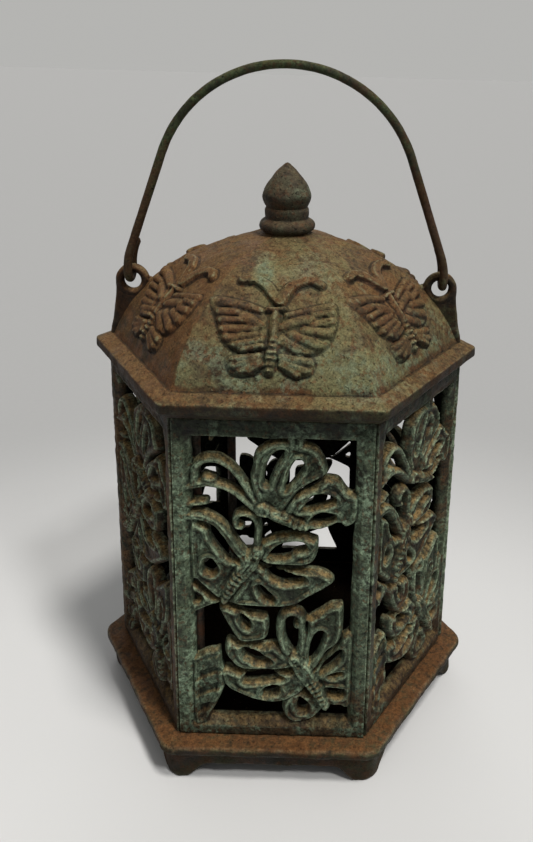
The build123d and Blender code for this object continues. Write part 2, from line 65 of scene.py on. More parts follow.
# Openwork design on a panel's face, as x and height: wing outlines, through cells, bars and bodies.
# A bar is its half width and its points; a body's points carry their own half width.
wings = [
    [(-8.2, 125.4), (-7.3, 129.6), (-6.9, 132.7), (-5.7, 135.4), (-3.8, 137), (-1.4, 138.6), (1.3, 139.5),
     (4.3, 139.7), (7.7, 139.4), (11.2, 138.7), (13.8, 137.9), (15.8, 136), (17.4, 133.3), (18.4, 130.7),
     (18.8, 128.2), (17.2, 126.2), (13.6, 123.9), (9.6, 121), (6.7, 117.5), (4.7, 114.1), (2.7, 111.7),
     (-1.3, 111.6), (-4.6, 114.1), (-6.6, 118.2)],
    [(4.1, 112.8), (5.6, 116.1), (8, 118.8), (11, 120.8), (15, 122.8), (17.9, 125.6), (20.4, 125.9),
     (23.2, 125.1), (26, 121), (29.8, 118.5), (29.8, 109.8), (26, 106.6), (23.4, 108.1), (20.9, 107.1),
     (18.4, 106.1), (16.4, 105.4), (13.4, 105.5), (9.8, 105.7), (6.5, 106.2), (4, 108.9), (3.2, 111.1)],
    [(-29.6, 108), (-26, 106.6), (-22.3, 104.1), (-19.3, 99.7), (-16.3, 95), (-13.3, 91.8), (-9, 90.7),
     (-11.5, 86.3), (-14.4, 82.6), (-17.3, 78.9), (-19.6, 76.1), (-22.5, 78.4), (-25.5, 81.3),
     (-28, 83.9), (-29.6, 84.3)],
    [(-29.6, 82.9), (-28.5, 82.1), (-25.4, 79.6), (-22.3, 76.6), (-19.4, 74.5), (-18.8, 74.5),
     (-21, 73.6), (-25.2, 71.6), (-29.4, 69.4), (-29.6, 68.5)],
    [(-4.9, 95.8), (-4.2, 98.7), (-2.5, 100.5), (0, 102), (3.1, 102.9), (7.2, 103.2), (11.3, 102.8),
     (14.6, 101.9), (16, 101.2), (16.3, 98.7), (15.8, 95.1), (14.4, 92.2), (11.6, 90.7), (7.5, 90.3),
     (2.3, 90.6), (-2.3, 91), (-4.6, 93)],
    [(-9.1, 91.1), (-5.1, 90), (-2, 88.9), (3.2, 88.5), (8.4, 88.5), (12.5, 88.9), (16.1, 88.7),
     (19.3, 87.6), (21.4, 85.9), (22.2, 84.5), (21, 82.9), (16.4, 79.7), (11.8, 76.5), (8.2, 74),
     (3.5, 72.9), (-2.2, 72.7), (-6.9, 72.9), (-11.1, 73), (-14.7, 74.1), (-16.4, 74.9), (-13.8, 78),
     (-11.1, 83.3)],
    [(-19.5, 72.3), (-16.7, 72.7), (-14, 71.9), (-10.4, 70.4), (-6.7, 69.8), (-3.6, 69.2), (-1.9, 68.4),
     (-1.4, 65.3), (-1.6, 61.6), (-2.2, 59.4), (-4, 58.3), (-7.5, 57.8), (-10.7, 57.6), (-13, 58.4),
     (-15.1, 61.5), (-17.2, 65.8), (-18.8, 69.7)],
    [(12, 67.8), (13.9, 69), (17, 71.3), (20.1, 73.8), (22.2, 74.6), (23.8, 74.6), (25.5, 74),
     (25.9, 68.1), (25.4, 61.9), (24, 57.5), (21.1, 54.8), (18.6, 51), (16, 46.7), (13.1, 46),
     (11.2, 48.8), (10.8, 52.4), (11.8, 57.3), (12.8, 62.4), (12.9, 66.1)],
    [(13.6, 44), (15.9, 45.6), (18.6, 49.6), (21.1, 52.7), (24.3, 56.2), (26, 61), (29.8, 62), (29.8, 47),
     (29.8, 31), (26, 29.6), (25.8, 30.1), (22.8, 30.2), (20.1, 31.2), (17.3, 34.8), (14.8, 39.2)],
    [(-17.7, 55), (-17.2, 57.6), (-15.8, 58.5), (-12.6, 56.4), (-8.3, 55.8), (-3, 56), (-0.8, 56.8),
     (1.3, 56.6), (3.5, 54), (6.2, 51.7), (8.2, 49.4), (6.9, 46.7), (1.6, 45.6), (-4.8, 45.6),
     (-10.7, 45.8), (-13.9, 47), (-16, 49.8), (-17.5, 52.3)],
    [(-19.5, 43.3), (-19.1, 44.9), (-16.7, 46.1), (-12.7, 44.1), (-6.2, 43.8), (1.4, 43.9), (6.8, 44.8),
     (10.6, 42.8), (12.6, 39.8), (10.8, 35.8), (7.1, 33.1), (3.8, 31.3), (0.6, 30.8), (-3.2, 31),
     (-7.5, 32.1), (-11.9, 33.9), (-15.6, 36.2), (-18.3, 38.9)],
    [(5.9, 33.7), (4.2, 31), (3.8, 27.7), (4.7, 24.7), (6.9, 22.7), (9.6, 22), (12.6, 22.9), (15.6, 24.4),
     (18, 26.9), (19.6, 29.9), (17.8, 32.7), (14.5, 34.5), (10.7, 35.7), (8, 35.4)],
    [(-29.6, 50.6), (-29.6, 49.5), (-27.1, 50.9), (-23.8, 52.7), (-21.2, 53.2), (-19.7, 53.8),
     (-19.2, 51.9), (-18.8, 47.9), (-17.8, 45.2), (-17.5, 41.4), (-18, 37.5), (-19.3, 33.5),
     (-21.1, 29.5), (-22.5, 26.1), (-23.9, 22.7), (-25.1, 21), (-29.6, 21)],
]
cells = [
    [(-4.1, 123.4), (-3.8, 127.8), (-2.8, 131.7), (-1.1, 134.8), (1.1, 136.6), (3, 137), (4.8, 135.9),
     (3.8, 133), (1.6, 129.1), (-0.1, 125.2), (-1.1, 122.4), (-2.6, 122.1)],
    [(4, 124.2), (4.8, 128.1), (6.3, 131.2), (8, 133), (10, 132.7), (11.3, 130.4), (10, 127.2),
     (7.9, 123.8), (5.6, 120.9), (3.8, 120), (3.2, 122)],
    [(10.5, 115.8), (12.4, 118.4), (14.6, 120), (17.6, 120.5), (20.6, 119.8), (22.9, 118.3),
     (22.7, 116.5), (18.2, 114.3), (13.8, 112.8), (9.8, 112), (8.5, 112.6)],
    [(12.6, 109.6), (14.3, 111.7), (16.8, 112.9), (19.8, 112.7), (22.6, 111.9), (23.1, 109.7),
     (19.4, 107.8), (15.4, 107.1), (11.6, 107.5)],
    [(-22.9, 104.9), (-22, 104.8), (-19.8, 102), (-17.5, 98.3), (-15.8, 94.8), (-14.7, 92.5),
     (-15.8, 92.1), (-18.1, 94.2), (-20.6, 97.9), (-22.6, 101.3)],
    [(-25.5, 91.3), (-24.8, 92.9), (-22.9, 93.6), (-21.2, 93), (-19.9, 90.9), (-18.9, 88.2), (-20, 86.3),
     (-22.3, 85.3), (-24.9, 86.3), (-26.1, 88.8)],
    [(-30.2, 78.6), (-29.2, 79.4), (-27.4, 78.8), (-25.8, 77.5), (-25, 75.9), (-26, 74.4), (-28.2, 73.8),
     (-30.2, 74.4), (-30.8, 76.3)],
    [(-3.4, 93.8), (-1.8, 96.8), (0.8, 99.5), (4.3, 101), (8.4, 101.6), (11.4, 101), (13.5, 98.7),
     (13.7, 97.3), (11.5, 95.9), (8.5, 95), (6.9, 93.2), (2.9, 92.1), (-1.2, 92.1), (-3.3, 92.6)],
    [(-3.5, 88.5), (-1.7, 89.7), (1.9, 89.3), (5.5, 88.5), (8.5, 87.5), (11.6, 86.9), (13, 85.3),
     (11.7, 83.5), (7.6, 82.3), (2.9, 82.4), (-0.7, 83.9), (-2.8, 86.4)],
    [(-6.3, 81.2), (-5.7, 82.7), (-4.3, 82.5), (-2.2, 80.4), (0.1, 78.1), (1, 76.1), (-0.1, 75),
     (-2.7, 75.8), (-4.8, 77.9)],
    [(-12.5, 69.1), (-11.6, 70.1), (-10, 69.2), (-8.4, 67.4), (-7.5, 65.2), (-8.9, 63.4), (-10.9, 64.6),
     (-12.2, 66.9)],
    [(12.6, 52.8), (13.2, 57.3), (14.4, 61.1), (16.2, 63.6), (17.8, 64), (19.8, 63), (19.7, 60),
     (18.2, 55.5), (16.2, 51), (13.8, 47.8), (12.5, 49)],
    [(17.1, 46.3), (18.6, 49.1), (21.7, 52.8), (24.3, 55.4), (26.4, 55.5), (26.3, 52), (23.9, 48.7),
     (20.8, 45.4), (17.7, 43.3), (16.6, 44)],
    [(20.7, 43.8), (23.2, 45), (26.2, 45.7), (26.2, 44.2), (23.2, 43)],
    [(18.9, 37.9), (20.4, 39), (23.1, 38.9), (25.3, 38.5), (27.5, 37.9), (27.6, 34.8), (24.9, 33.4),
     (21.1, 33.4), (19.4, 35.3)],
    [(-12.5, 52.9), (-12, 55.5), (-9.1, 56), (-5.3, 54.7), (-2.2, 52.3), (0, 50.5), (0.8, 49.1),
     (-2.2, 47.7), (-7, 47.6), (-9.1, 48.9), (-11.2, 50.1)],
    [(-11.5, 42.1), (-10.2, 44.4), (-5.9, 45), (-0.5, 45.2), (2.7, 44), (5.5, 42.3), (4.3, 40.7),
     (-0.5, 39.9), (-5.9, 39), (-10.2, 38.8), (-11.9, 40.1)],
    [(-4.3, 34.8), (-3.2, 37.6), (-0.5, 39), (2.4, 39.4), (3.7, 37.9), (3.9, 35.8), (1.7, 34.2),
     (-1.6, 33.2), (-3.9, 33.4)],
    [(8.4, 32), (9.2, 34.3), (10.8, 34.8), (12.5, 33.5), (14.7, 30.9), (15.1, 28.3), (13.1, 26.1),
     (10.1, 25.8), (8.3, 27.7), (7.9, 30)],
]
bars = [
    (1.55, [(-27.7, 123.4), (-27.5, 127.3), (-25.9, 130.4), (-23.2, 131.8), (-20, 131.9), (-17.1, 130.6),
            (-14.6, 128.5), (-12.2, 125.6), (-9.7, 121.8), (-7.5, 118), (-5.8, 115.2), (-4.3, 113.3)]),
    (1.7, [(-30.5, 121.3), (-26.6, 122.3), (-23.6, 122.8), (-20.6, 122.4), (-17.2, 121.4), (-14.2, 119.9),
           (-10.8, 117.2), (-7.8, 114.5), (-5.3, 112.4)]),
    (1.35, [(-30.5, 114.3), (-26.8, 114.8), (-23.7, 115.1)]),
    (2.2, [(-30.5, 109.7), (-27.9, 109.9), (-24.4, 109.4), (-21.4, 108), (-18.9, 106), (-16.7, 103),
           (-14.7, 99.8), (-12.7, 96.7), (-10.6, 93.8), (-8.9, 91.5)]),
    (1.5, [(-5.8, 97.5), (-5.7, 100.9), (-5.3, 104.4), (-5.8, 107.6), (-7.4, 109.8), (-9.8, 111),
           (-12, 110.6), (-13.4, 108.7), (-13.1, 106.2), (-11.4, 105.5)]),
    (1.75, [(8, 50.4), (5, 54.5), (3.4, 58.5), (2.8, 62.8), (3, 66.3), (4.1, 69.1), (6.2, 70.7),
            (8.8, 70.5), (10.6, 68.4), (10.5, 66.2), (9.1, 65.2)]),
    (1.5, [(9.8, 51.1), (10.8, 55.6), (11.1, 60), (10.9, 63.1), (10.4, 65.6)]),
    (1.6, [(-23.5, 124.6), (-21.2, 124.1)]),
    (3, [(7.7, 139.3), (7.6, 144.1)]),
]
bodies = [
    [(-3.8, 113.1, 2.7), (-0.7, 111.6, 2.1), (3.3, 109.9, 2.3), (8.3, 108.2, 2), (11.4, 107.1, 1.4)],
    [(-5.5, 96.2, 2.2), (-8.3, 91.4, 3), (-11.9, 86.3, 2.8), (-14.8, 81.4, 2.4), (-17.4, 76.4, 1.7)],
    [(8.3, 50.7, 2.4), (11, 46.6, 3.3), (13.7, 42.2, 3), (16.7, 37.2, 2.6), (20.2, 30.3, 1.7)],
]

# Roof butterfly on one face of the dome, as x, distance up the curve from its middle
# and, for its lines, half width
RELIEF_ANGLE = 42.0
roof_wings = [
    [(-4.8, 3.9), (-10.6, 7.1), (-18.6, 8.9), (-23.5, 8.5), (-22.3, 4.5), (-20.8, 0.5), (-18.6, -6.2),
     (-16.3, -9.2), (-13.2, -11.2), (-8.6, -11.1), (-4.8, -9.7), (-3.2, -3)],
    [(-4.7, -12.2), (-9, -12.2), (-13, -12.6), (-16, -13.8), (-15.6, -17), (-14, -19.2), (-10, -19.5),
     (-6.9, -18.2), (-4.5, -15.2)],
    [(3, 2.2), (9.8, 4.8), (17.9, 7.1), (20.1, 5.2), (20.3, 0.9), (19.1, -4.6), (16.7, -9.1),
     (12.6, -11.7), (6, -12), (1.6, -11.6), (1.2, -4)],
    [(1.6, -12.4), (7, -12.7), (12, -13), (13.1, -15.1), (12, -18.5), (7, -19.6), (3.5, -18.4),
     (2.2, -16.2)],
]
roof_lobes = [
    [(-5.6, 3.4, 0.9), (-12.7, 5.6, 1.3), (-20, 6.6, 1.4)],
    [(-5.3, -2, 1), (-8.4, -0.2, 1.7), (-11.5, 1.5, 1.5)],
    [(-13.6, 2.7, 1), (-19.9, 2.8, 1.2)],
    [(-11.8, -0.2, 0.9), (-19, -0.3, 1.2)],
    [(-7, -3, 0.8), (-9.9, -3.3, 1), (-18, -3.6, 1.3)],
    [(-7.2, -5.4, 0.9), (-16.6, -6.6, 1.3)],
    [(-5.4, -7.1, 0.9), (-13.9, -9, 1.2)],
    [(-4.8, -9.3, 0.8), (-11.5, -10.5, 1.1)],
    [(-5.5, -12.6, 0.7), (-14.2, -13.9, 0.9)],
    [(-5.9, -13.5, 0.8), (-13.6, -16.2, 1.2)],
    [(-5.4, -14.6, 0.8), (-11.3, -17.8, 1.1)],
    [(-5, -15.6, 0.7), (-8.2, -18, 1)],
    [(3.5, 1.8, 0.8), (10.3, 3.9, 1), (18.4, 5.9, 1.2)],
    [(1.8, -2.5, 1.1), (6.2, -0.5, 1.7), (11.7, 0.7, 1.6)],
    [(12.6, 2.6, 0.9), (18.7, 3.5, 1.1)],
    [(12.4, -1.2, 1), (18.6, 0.2, 1.3)],
    [(9.7, -3.3, 1.2), (17.2, -4.4, 1.6)],
    [(5.6, -5.2, 1.4), (14, -8.3, 1.7)],
    [(2, -7.2, 1.7), (7.7, -10.3, 1.7)],
    [(2.2, -13, 1), (11.2, -14.4, 1.2)],
    [(2.5, -14.3, 0.9), (10.2, -17.2, 1.2)],
    [(2.4, -15.6, 0.8), (7.6, -18.6, 1.1)],
]
roof_horns = [
    [(0.3, 7, 1.3), (-2.2, 10.5, 1.6), (-4.2, 13.7, 1.7), (-7.5, 16.2, 1.6), (-10.4, 16.7, 1.5),
     (-12.8, 16.1, 1.4)],
    [(0.9, 7, 1.3), (2.2, 10.3, 1.6), (3.9, 13.3, 1.7), (7.1, 15.6, 1.6), (11.2, 16.5, 1.5),
     (14.2, 15.1, 1.4)],
    [(0.6, 8, 1.6), (0.4, 9.8, 1.2)],
]
roof_collar = [(-3.2, 3.9, 1.3), (-0.6, 4.1, 1), (2.2, 4.1, 1.3)]
roof_thorax = [(-0.6, 3.4, 1.7), (-0.8, -2, 2.2), (-0.8, -6, 1.8)]
roof_abdomen = [(-0.8, -7.2, 1.9), (-1.3, -12.1, 2.2), (-2.1, -18.4, 1.2)]


def curve(points, closed=False, steps=6):
    """Smooth line through the points, with any further columns carried along."""
    p = np.asarray(points, float)
    n = len(p)
    t = np.linspace(0, 1, steps, endpoint=False)[:, None]
    runs = []
    for i in range(n if closed else n - 1):
        if closed:
            a, b, c, d = p[i - 1], p[i], p[(i + 1) % n], p[(i + 2) % n]
        else:
            a, b, c, d = p[max(i - 1, 0)], p[i], p[i + 1], p[min(i + 2, n - 1)]
        runs.append(b + 0.5 * t * (c - a + t * (2 * a - 5 * b + 4 * c - d + t * (3 * (b - c) + d - a))))
    if not closed:
        runs.append(p[-1:])
    return np.vstack(runs)


def nearest(x, z, line):
    """Distance to a line of points with radii, and the radius and length along it there."""
    best = np.full(x.shape, FAR)
    radius = np.ones(x.shape)
    along = np.zeros(x.shape)
    run = 0.0
    for a, b in zip(line[:-1], line[1:]):
        step = b[:2] - a[:2]
        size = max(float(np.hypot(*step)), 1e-9)
        t = np.clip(((x - a[0]) * step[0] + (z - a[1]) * step[1]) / size**2, 0, 1)
        away = np.hypot(x - a[0] - t * step[0], z - a[1] - t * step[1])
        r = a[2] + t * (b[2] - a[2])
        closer = away - r < best - radius
        best = np.where(closer, away, best)
        radius = np.where(closer, r, radius)
        along = np.where(closer, run + t * size, along)
        run += size
    return best, radius, along


def outline_distance(x, z, outline):
    """Signed distance to a closed outline, negative inside."""
    best = np.full(x.shape, FAR)
    inside = np.zeros(x.shape, bool)
    for a, b in zip(outline, np.roll(outline, -1, 0)):
        step = b - a
        t = np.clip(((x - a[0]) * step[0] + (z - a[1]) * step[1]) / max(step @ step, 1e-12), 0, 1)
        best = np.minimum(best, np.hypot(x - a[0] - t * step[0], z - a[1] - t * step[1]))
        if a[1] != b[1]:
            crosses = (a[1] > z) != (b[1] > z)
            inside ^= crosses & (x < a[0] + (z - a[1]) * step[0] / step[1])
    return np.where(inside, -best, best)


def soft_min(a, b, width):
    """Smaller of two fields with a rounded join."""
    h = np.clip(0.5 + 0.5 * (b - a) / width, 0, 1)
    return b + (a - b) * h - width * h * (1 - h)


def ramp(value, low, high):
    """Smooth step from 0 at low to 1 at high."""
    t = np.clip((value - low) / (high - low), 0, 1)
    return t * t * (3 - 2 * t)


def bell(value, middle, width):
    """Round hump of height 1."""
    return np.exp(-((value - middle) / width) ** 2)


def lumps(points, cell, seed):
    """Smooth random field from -1 to 1 with features of about this size."""
    q = np.asarray(points, float) / cell
    low = np.floor(q).astype(np.int64)
    f = q - low
    f = f * f * (3 - 2 * f)
    total = np.zeros(q.shape[:-1])
    for corner in range(8):
        bit = np.array([corner & 1, corner >> 1 & 1, corner >> 2 & 1])
        cell_id = low + bit
        mix = cell_id[..., 0] * 73856093 ^ cell_id[..., 1] * 19349663 ^ cell_id[..., 2] * 83492791
        mix = (mix ^ seed * 2654435761) & 0xFFFFFFFF
        mix = (mix ^ mix >> 13) * 1274126177 & 0xFFFFFFFF
        mix = (mix ^ mix >> 16) & 0xFFFF
        total += np.prod(np.where(bit, f, 1 - f), axis=-1) * (mix / 32767.5 - 1)
    return total


def cast_skin(points, seed, coarse, fine):
    """Uneven skin of a casting: two layers of lumps, each given as height and size."""
    return coarse[0] * lumps(points, coarse[1], seed) + fine[0] * lumps(points, fine[1], seed + 1)


def dome_profile(share):
    """Round rise from 0 at an edge to 1."""
    return np.sqrt(np.clip(1 - (1 - np.clip(share, 0, 1)) ** 2, 0, 1))


def sheet(xs, zs, field):
    """Points, polygons and edge of the region where the field is negative, cut at its zero line."""
    inside = field < 0
    nx, nz = inside.shape
    ids = np.full((nx, nz), -1)
    ids[inside] = np.arange(inside.sum())
    grid_x, grid_z = np.meshgrid(xs, zs, indexing="ij")
    points = [np.stack([grid_x[inside], grid_z[inside]], 1)]
    count = inside.sum()
    cuts = []
    along_x = (np.s_[:-1], np.s_[1:], (xs[1] - xs[0], 0))
    along_z = (np.s_[:, :-1], np.s_[:, 1:], (0, zs[1] - zs[0]))
    for here, there, step in (along_x, along_z):
        changes = inside[here] != inside[there]
        first, second = field[here][changes], field[there][changes]
        t = np.clip(first / (first - second), SLIVER, 1 - SLIVER)
        starts = np.stack([grid_x[here][changes], grid_z[here][changes]], 1)
        points.append(starts + t[:, None] * step)
        table = np.full(changes.shape, -1)
        table[changes] = count + np.arange(changes.sum())
        count += changes.sum()
        cuts.append(table)
    corners = inside[:-1, :-1].astype(int) + inside[1:, :-1] + inside[1:, 1:] + inside[:-1, 1:]
    i, j = np.nonzero(corners == 4)
    polygons = np.stack([ids[i, j], ids[i + 1, j], ids[i + 1, j + 1], ids[i, j + 1]], 1).tolist()
    for i, j in zip(*np.nonzero((corners > 0) & (corners < 4))):
        ring = [ids[i, j], cuts[0][i, j], ids[i + 1, j], cuts[1][i + 1, j],
                ids[i + 1, j + 1], cuts[0][i, j + 1], ids[i, j + 1], cuts[1][i, j]]
        polygons.append([int(v) for v in ring if v >= 0])
    points = np.vstack(points)
    pairs = np.array([(p[k - 1], p[k]) for p in polygons for k in range(len(p))])
    keys = pairs[:, 0] * len(points) + pairs[:, 1]
    twins = pairs[:, 1] * len(points) + pairs[:, 0]
    return points, polygons, pairs[~np.isin(keys, twins)]


def sampled(values, xs, zs, points):
    """Values of a grid at points between its lines."""
    u = np.clip((points[:, 0] - xs[0]) / (xs[1] - xs[0]), 0, len(xs) - 1.001)
    v = np.clip((points[:, 1] - zs[0]) / (zs[1] - zs[0]), 0, len(zs) - 1.001)
    i, j = u.astype(int), v.astype(int)
    u, v = u - i, v - j
    return ((values[i, j] * (1 - u) + values[i + 1, j] * u) * (1 - v)
            + (values[i, j + 1] * (1 - u) + values[i + 1, j + 1] * u) * v)


def shell(front, back, polygons, edge):
    """Closed solid between two placings of a sheet."""
    n = len(front)
    faces = [list(p) for p in polygons]
    faces += [[v + n for v in reversed(p)] for p in polygons]
    faces += [[b, a, a + n, b + n] for a, b in edge.tolist()]
    return np.vstack([front, back]), faces


def turned(points, angle):
    """Points turned about the upright axis."""
    c, s = cos(angle), sin(angle)
    out = np.array(points, float)
    out[..., 0] = points[..., 0] * c - points[..., 1] * s
    out[..., 1] = points[..., 0] * s + points[..., 1] * c
    return out


def hex_ring(apothem, corner_round, columns):
    """Plan of a hexagon with rounded corners, the same number of points on each side."""
    half = apothem * TAN
    straight = half - corner_round * TAN
    x = half * np.linspace(-1, 1, columns, endpoint=False)
    over = np.clip((np.abs(x) - straight) / max(half - straight, 1e-9), 0, 1) * radians(30)
    rounded = np.abs(x) > straight
    px = np.where(rounded, np.sign(x) * (straight + corner_round * np.sin(over)), x)
    py = np.where(rounded, -(apothem - corner_round) - corner_round * np.cos(over), -apothem)
    side = np.stack([px, py], 1)
    return np.vstack([turned(side, radians(60 * k)) for k in range(6)])


def round_ring(radius, columns):
    """Plan of a circle with the points on the hexagon's bearings."""
    plan = hex_ring(1.0, 0.0, columns)
    return radius * plan / np.linalg.norm(plan, axis=1)[:, None]


def ring_grid(rows):
    """Points and faces of stacked closed rings, first ring at the top outside."""
    points = np.stack(rows)
    count, around = points.shape[:2]
    ids = np.arange(count * around).reshape(count, around)
    a, b = ids[:-1], ids[1:]
    faces = np.stack([a, b, np.roll(b, -1, 1), np.roll(a, -1, 1)], -1).reshape(-1, 4)
    return points.reshape(-1, 3), faces.tolist()


def level(plan, z):
    """A plan at one height, or at a height for each point."""
    return np.column_stack([plan, np.broadcast_to(z, len(plan))])


def pushed_out(row, amount):
    """A row of points moved away from the upright axis."""
    away = row[:, :2] / np.linalg.norm(row[:, :2], axis=1)[:, None]
    row[:, :2] += away * amount[:, None]
    return row


def joined(*solids):
    """Several point and face lists as one."""
    points, faces, start = [], [], 0
    for p, f in solids:
        points.append(p)
        faces += [[v + start for v in face] for face in f]
        start += len(p)
    return np.vstack(points), faces


def convexity(mesh):
    """How far each vertex stands out from its neighbours, for wear on edges and dirt in corners."""
    n = len(mesh.vertices)
    co = np.empty(n * 3)
    no = np.empty(n * 3)
    mesh.vertices.foreach_get("co", co)
    mesh.vertices.foreach_get("normal", no)
    co, no = co.reshape(-1, 3), no.reshape(-1, 3)
    ends = np.empty(len(mesh.edges) * 2, np.int32)
    mesh.edges.foreach_get("vertices", ends)
    a, b = ends.reshape(-1, 2).T
    size = np.linalg.norm(co[a] - co[b], axis=1)
    total, weight = np.zeros(n), np.zeros(n)
    for u, v in ((a, b), (b, a)):
        slope = np.einsum("ij,ij->i", co[u] - co[v], no[u]) / np.maximum(size, 1e-7)
        total += np.bincount(u, slope, n)
        weight += np.bincount(u, minlength=n)
    value = total / np.maximum(weight, 1)
    spread = np.bincount(a, value[b], n) + np.bincount(b, value[a], n)
    return 0.4 * value + 0.6 * spread / np.maximum(weight, 1)


def piece(name, solid, body, nodes, material, sharp=50, rise=None, side=None, lines=None,
          flat_faces=False):
    """A finished mesh on its body, standing for its nodes; flat faces may be merged."""
    points, faces = solid
    mesh = bpy.data.meshes.new(name)
    mesh.from_pydata((points * MM).tolist(), [], faces)
    mesh.validate()
    mesh.update()
    mesh.shade_smooth()
    mesh.set_sharp_from_angle(angle=radians(sharp))
    edge = mesh.attributes.new("edge", "FLOAT", "POINT")
    edge.data.foreach_set("value", convexity(mesh).astype(np.float32))
    # rise is how dark a mesh is painted inside and in recesses: smoke-black and painted shade
    for title, values in (("soot_shade_level", rise), ("side", side), ("lines", lines)):
        if values is not None:
            layer = mesh.attributes.new(title, "FLOAT", "POINT")
            layer.data.foreach_set("value", np.asarray(values, np.float32))
    if flat_faces:
        merged = bmesh.new()
        merged.from_mesh(mesh)
        bmesh.ops.dissolve_limit(merged, angle_limit=radians(0.2), verts=merged.verts, edges=merged.edges)
        merged.to_mesh(mesh)
        merged.free()
    mesh.materials.append(material)
    thing = bpy.data.objects.new(name, mesh)
    bpy.context.scene.collection.objects.link(thing)
    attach(thing, body)
    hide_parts(*nodes)
    return thing


class Net:
    """Short hand for the nodes of a new material or world."""

    def __init__(self, owner):
        owner.use_nodes = True
        self.owner = owner
        self.tree = owner.node_tree
        self.tree.nodes.clear()
        self.coord = self.add("ShaderNodeTexCoord")

    def add(self, kind, inputs=None, **settings):
        """A node with these settings, each input set to a value or linked to an output."""
        node = self.tree.nodes.new(kind)
        for key, value in settings.items():
            setattr(node, key, value)
        for key, value in (inputs or {}).items():
            if isinstance(value, bpy.types.NodeSocket):
                self.tree.links.new(value, node.inputs[key])
            else:
                node.inputs[key].default_value = value
        return node

    def noise(self, scale, detail, rough, offset, bend=0.0):
        inputs = {"Vector": self.coord.outputs["Object"], "W": offset, "Scale": scale, "Detail": detail,
                  "Roughness": rough, "Distortion": bend}
        return self.add("ShaderNodeTexNoise", inputs, noise_dimensions="4D").outputs["Fac"]

    def math(self, operation, a, b=0.0):
        return self.add("ShaderNodeMath", {0: a, 1: b}, operation=operation).outputs[0]

    def times(self, a, b):
        return self.math("MULTIPLY", a, b)

    def plus(self, a, b):
        return self.math("ADD", a, b)

    def minus(self, a, b):
        return self.math("SUBTRACT", a, b)

    def step(self, value, low, high, to_low=0.0, to_high=1.0):
        inputs = {"Value": value, "From Min": low, "From Max": high, "To Min": to_low, "To Max": to_high}
        node = self.add("ShaderNodeMapRange", inputs, interpolation_type="SMOOTHSTEP", clamp=True)
        return node.outputs["Result"]

    def mix(self, share, a, b, blend="MIX"):
        settings = {"data_type": "RGBA", "blend_type": blend, "clamp_factor": True}
        return self.add("ShaderNodeMix", {0: share, 6: a, 7: b}, **settings).outputs[2]

    def height_of(self, coordinate):
        return self.add("ShaderNodeSeparateXYZ", {0: self.coord.outputs[coordinate]}).outputs["Z"]

    def attribute(self, name):
        return self.add("ShaderNodeAttribute", attribute_name=name).outputs["Fac"]

    def finish(self, colour, rough, height, strength, distance, metal=0.0, shine=0.5):
        bump = self.add("ShaderNodeBump", {"Strength": strength, "Distance": distance, "Height": height})
        inputs = {"Base Color": colour, "Roughness": rough, "Metallic": metal, "Specular IOR Level": shine,
                  "Normal": bump.outputs["Normal"]}
        shader = self.add("ShaderNodeBsdfPrincipled", inputs)
        self.add("ShaderNodeOutputMaterial", {"Surface": shader.outputs[0]})
        return self.owner


def tone(red, green, blue):
    """Linear colour of a surface from its plain 0 to 255 colour."""
    part = [c / 255 for c in (red, green, blue)]
    return tuple(c / 12.92 if c <= 0.04045 else ((c + 0.055) / 1.055) ** 2.4 for c in part) + (1.0,)


def shaded(colour, factor, lift=0.0):
    """A colour made darker or lighter."""
    return tuple(min(1.0, factor * c + lift) for c in colour[:3]) + (1.0,)


CHALK, SPECK = tone(110, 128, 106), tone(140, 128, 98)
CREASE_SHADE_AND_DIRT, SOOT_SHADE_TONE = (0.006, 0.005, 0.004, 1.0), (0.005, 0.0045, 0.004, 1.0)
EAVES_SHADE_RANGE = (0.135, 0.144)


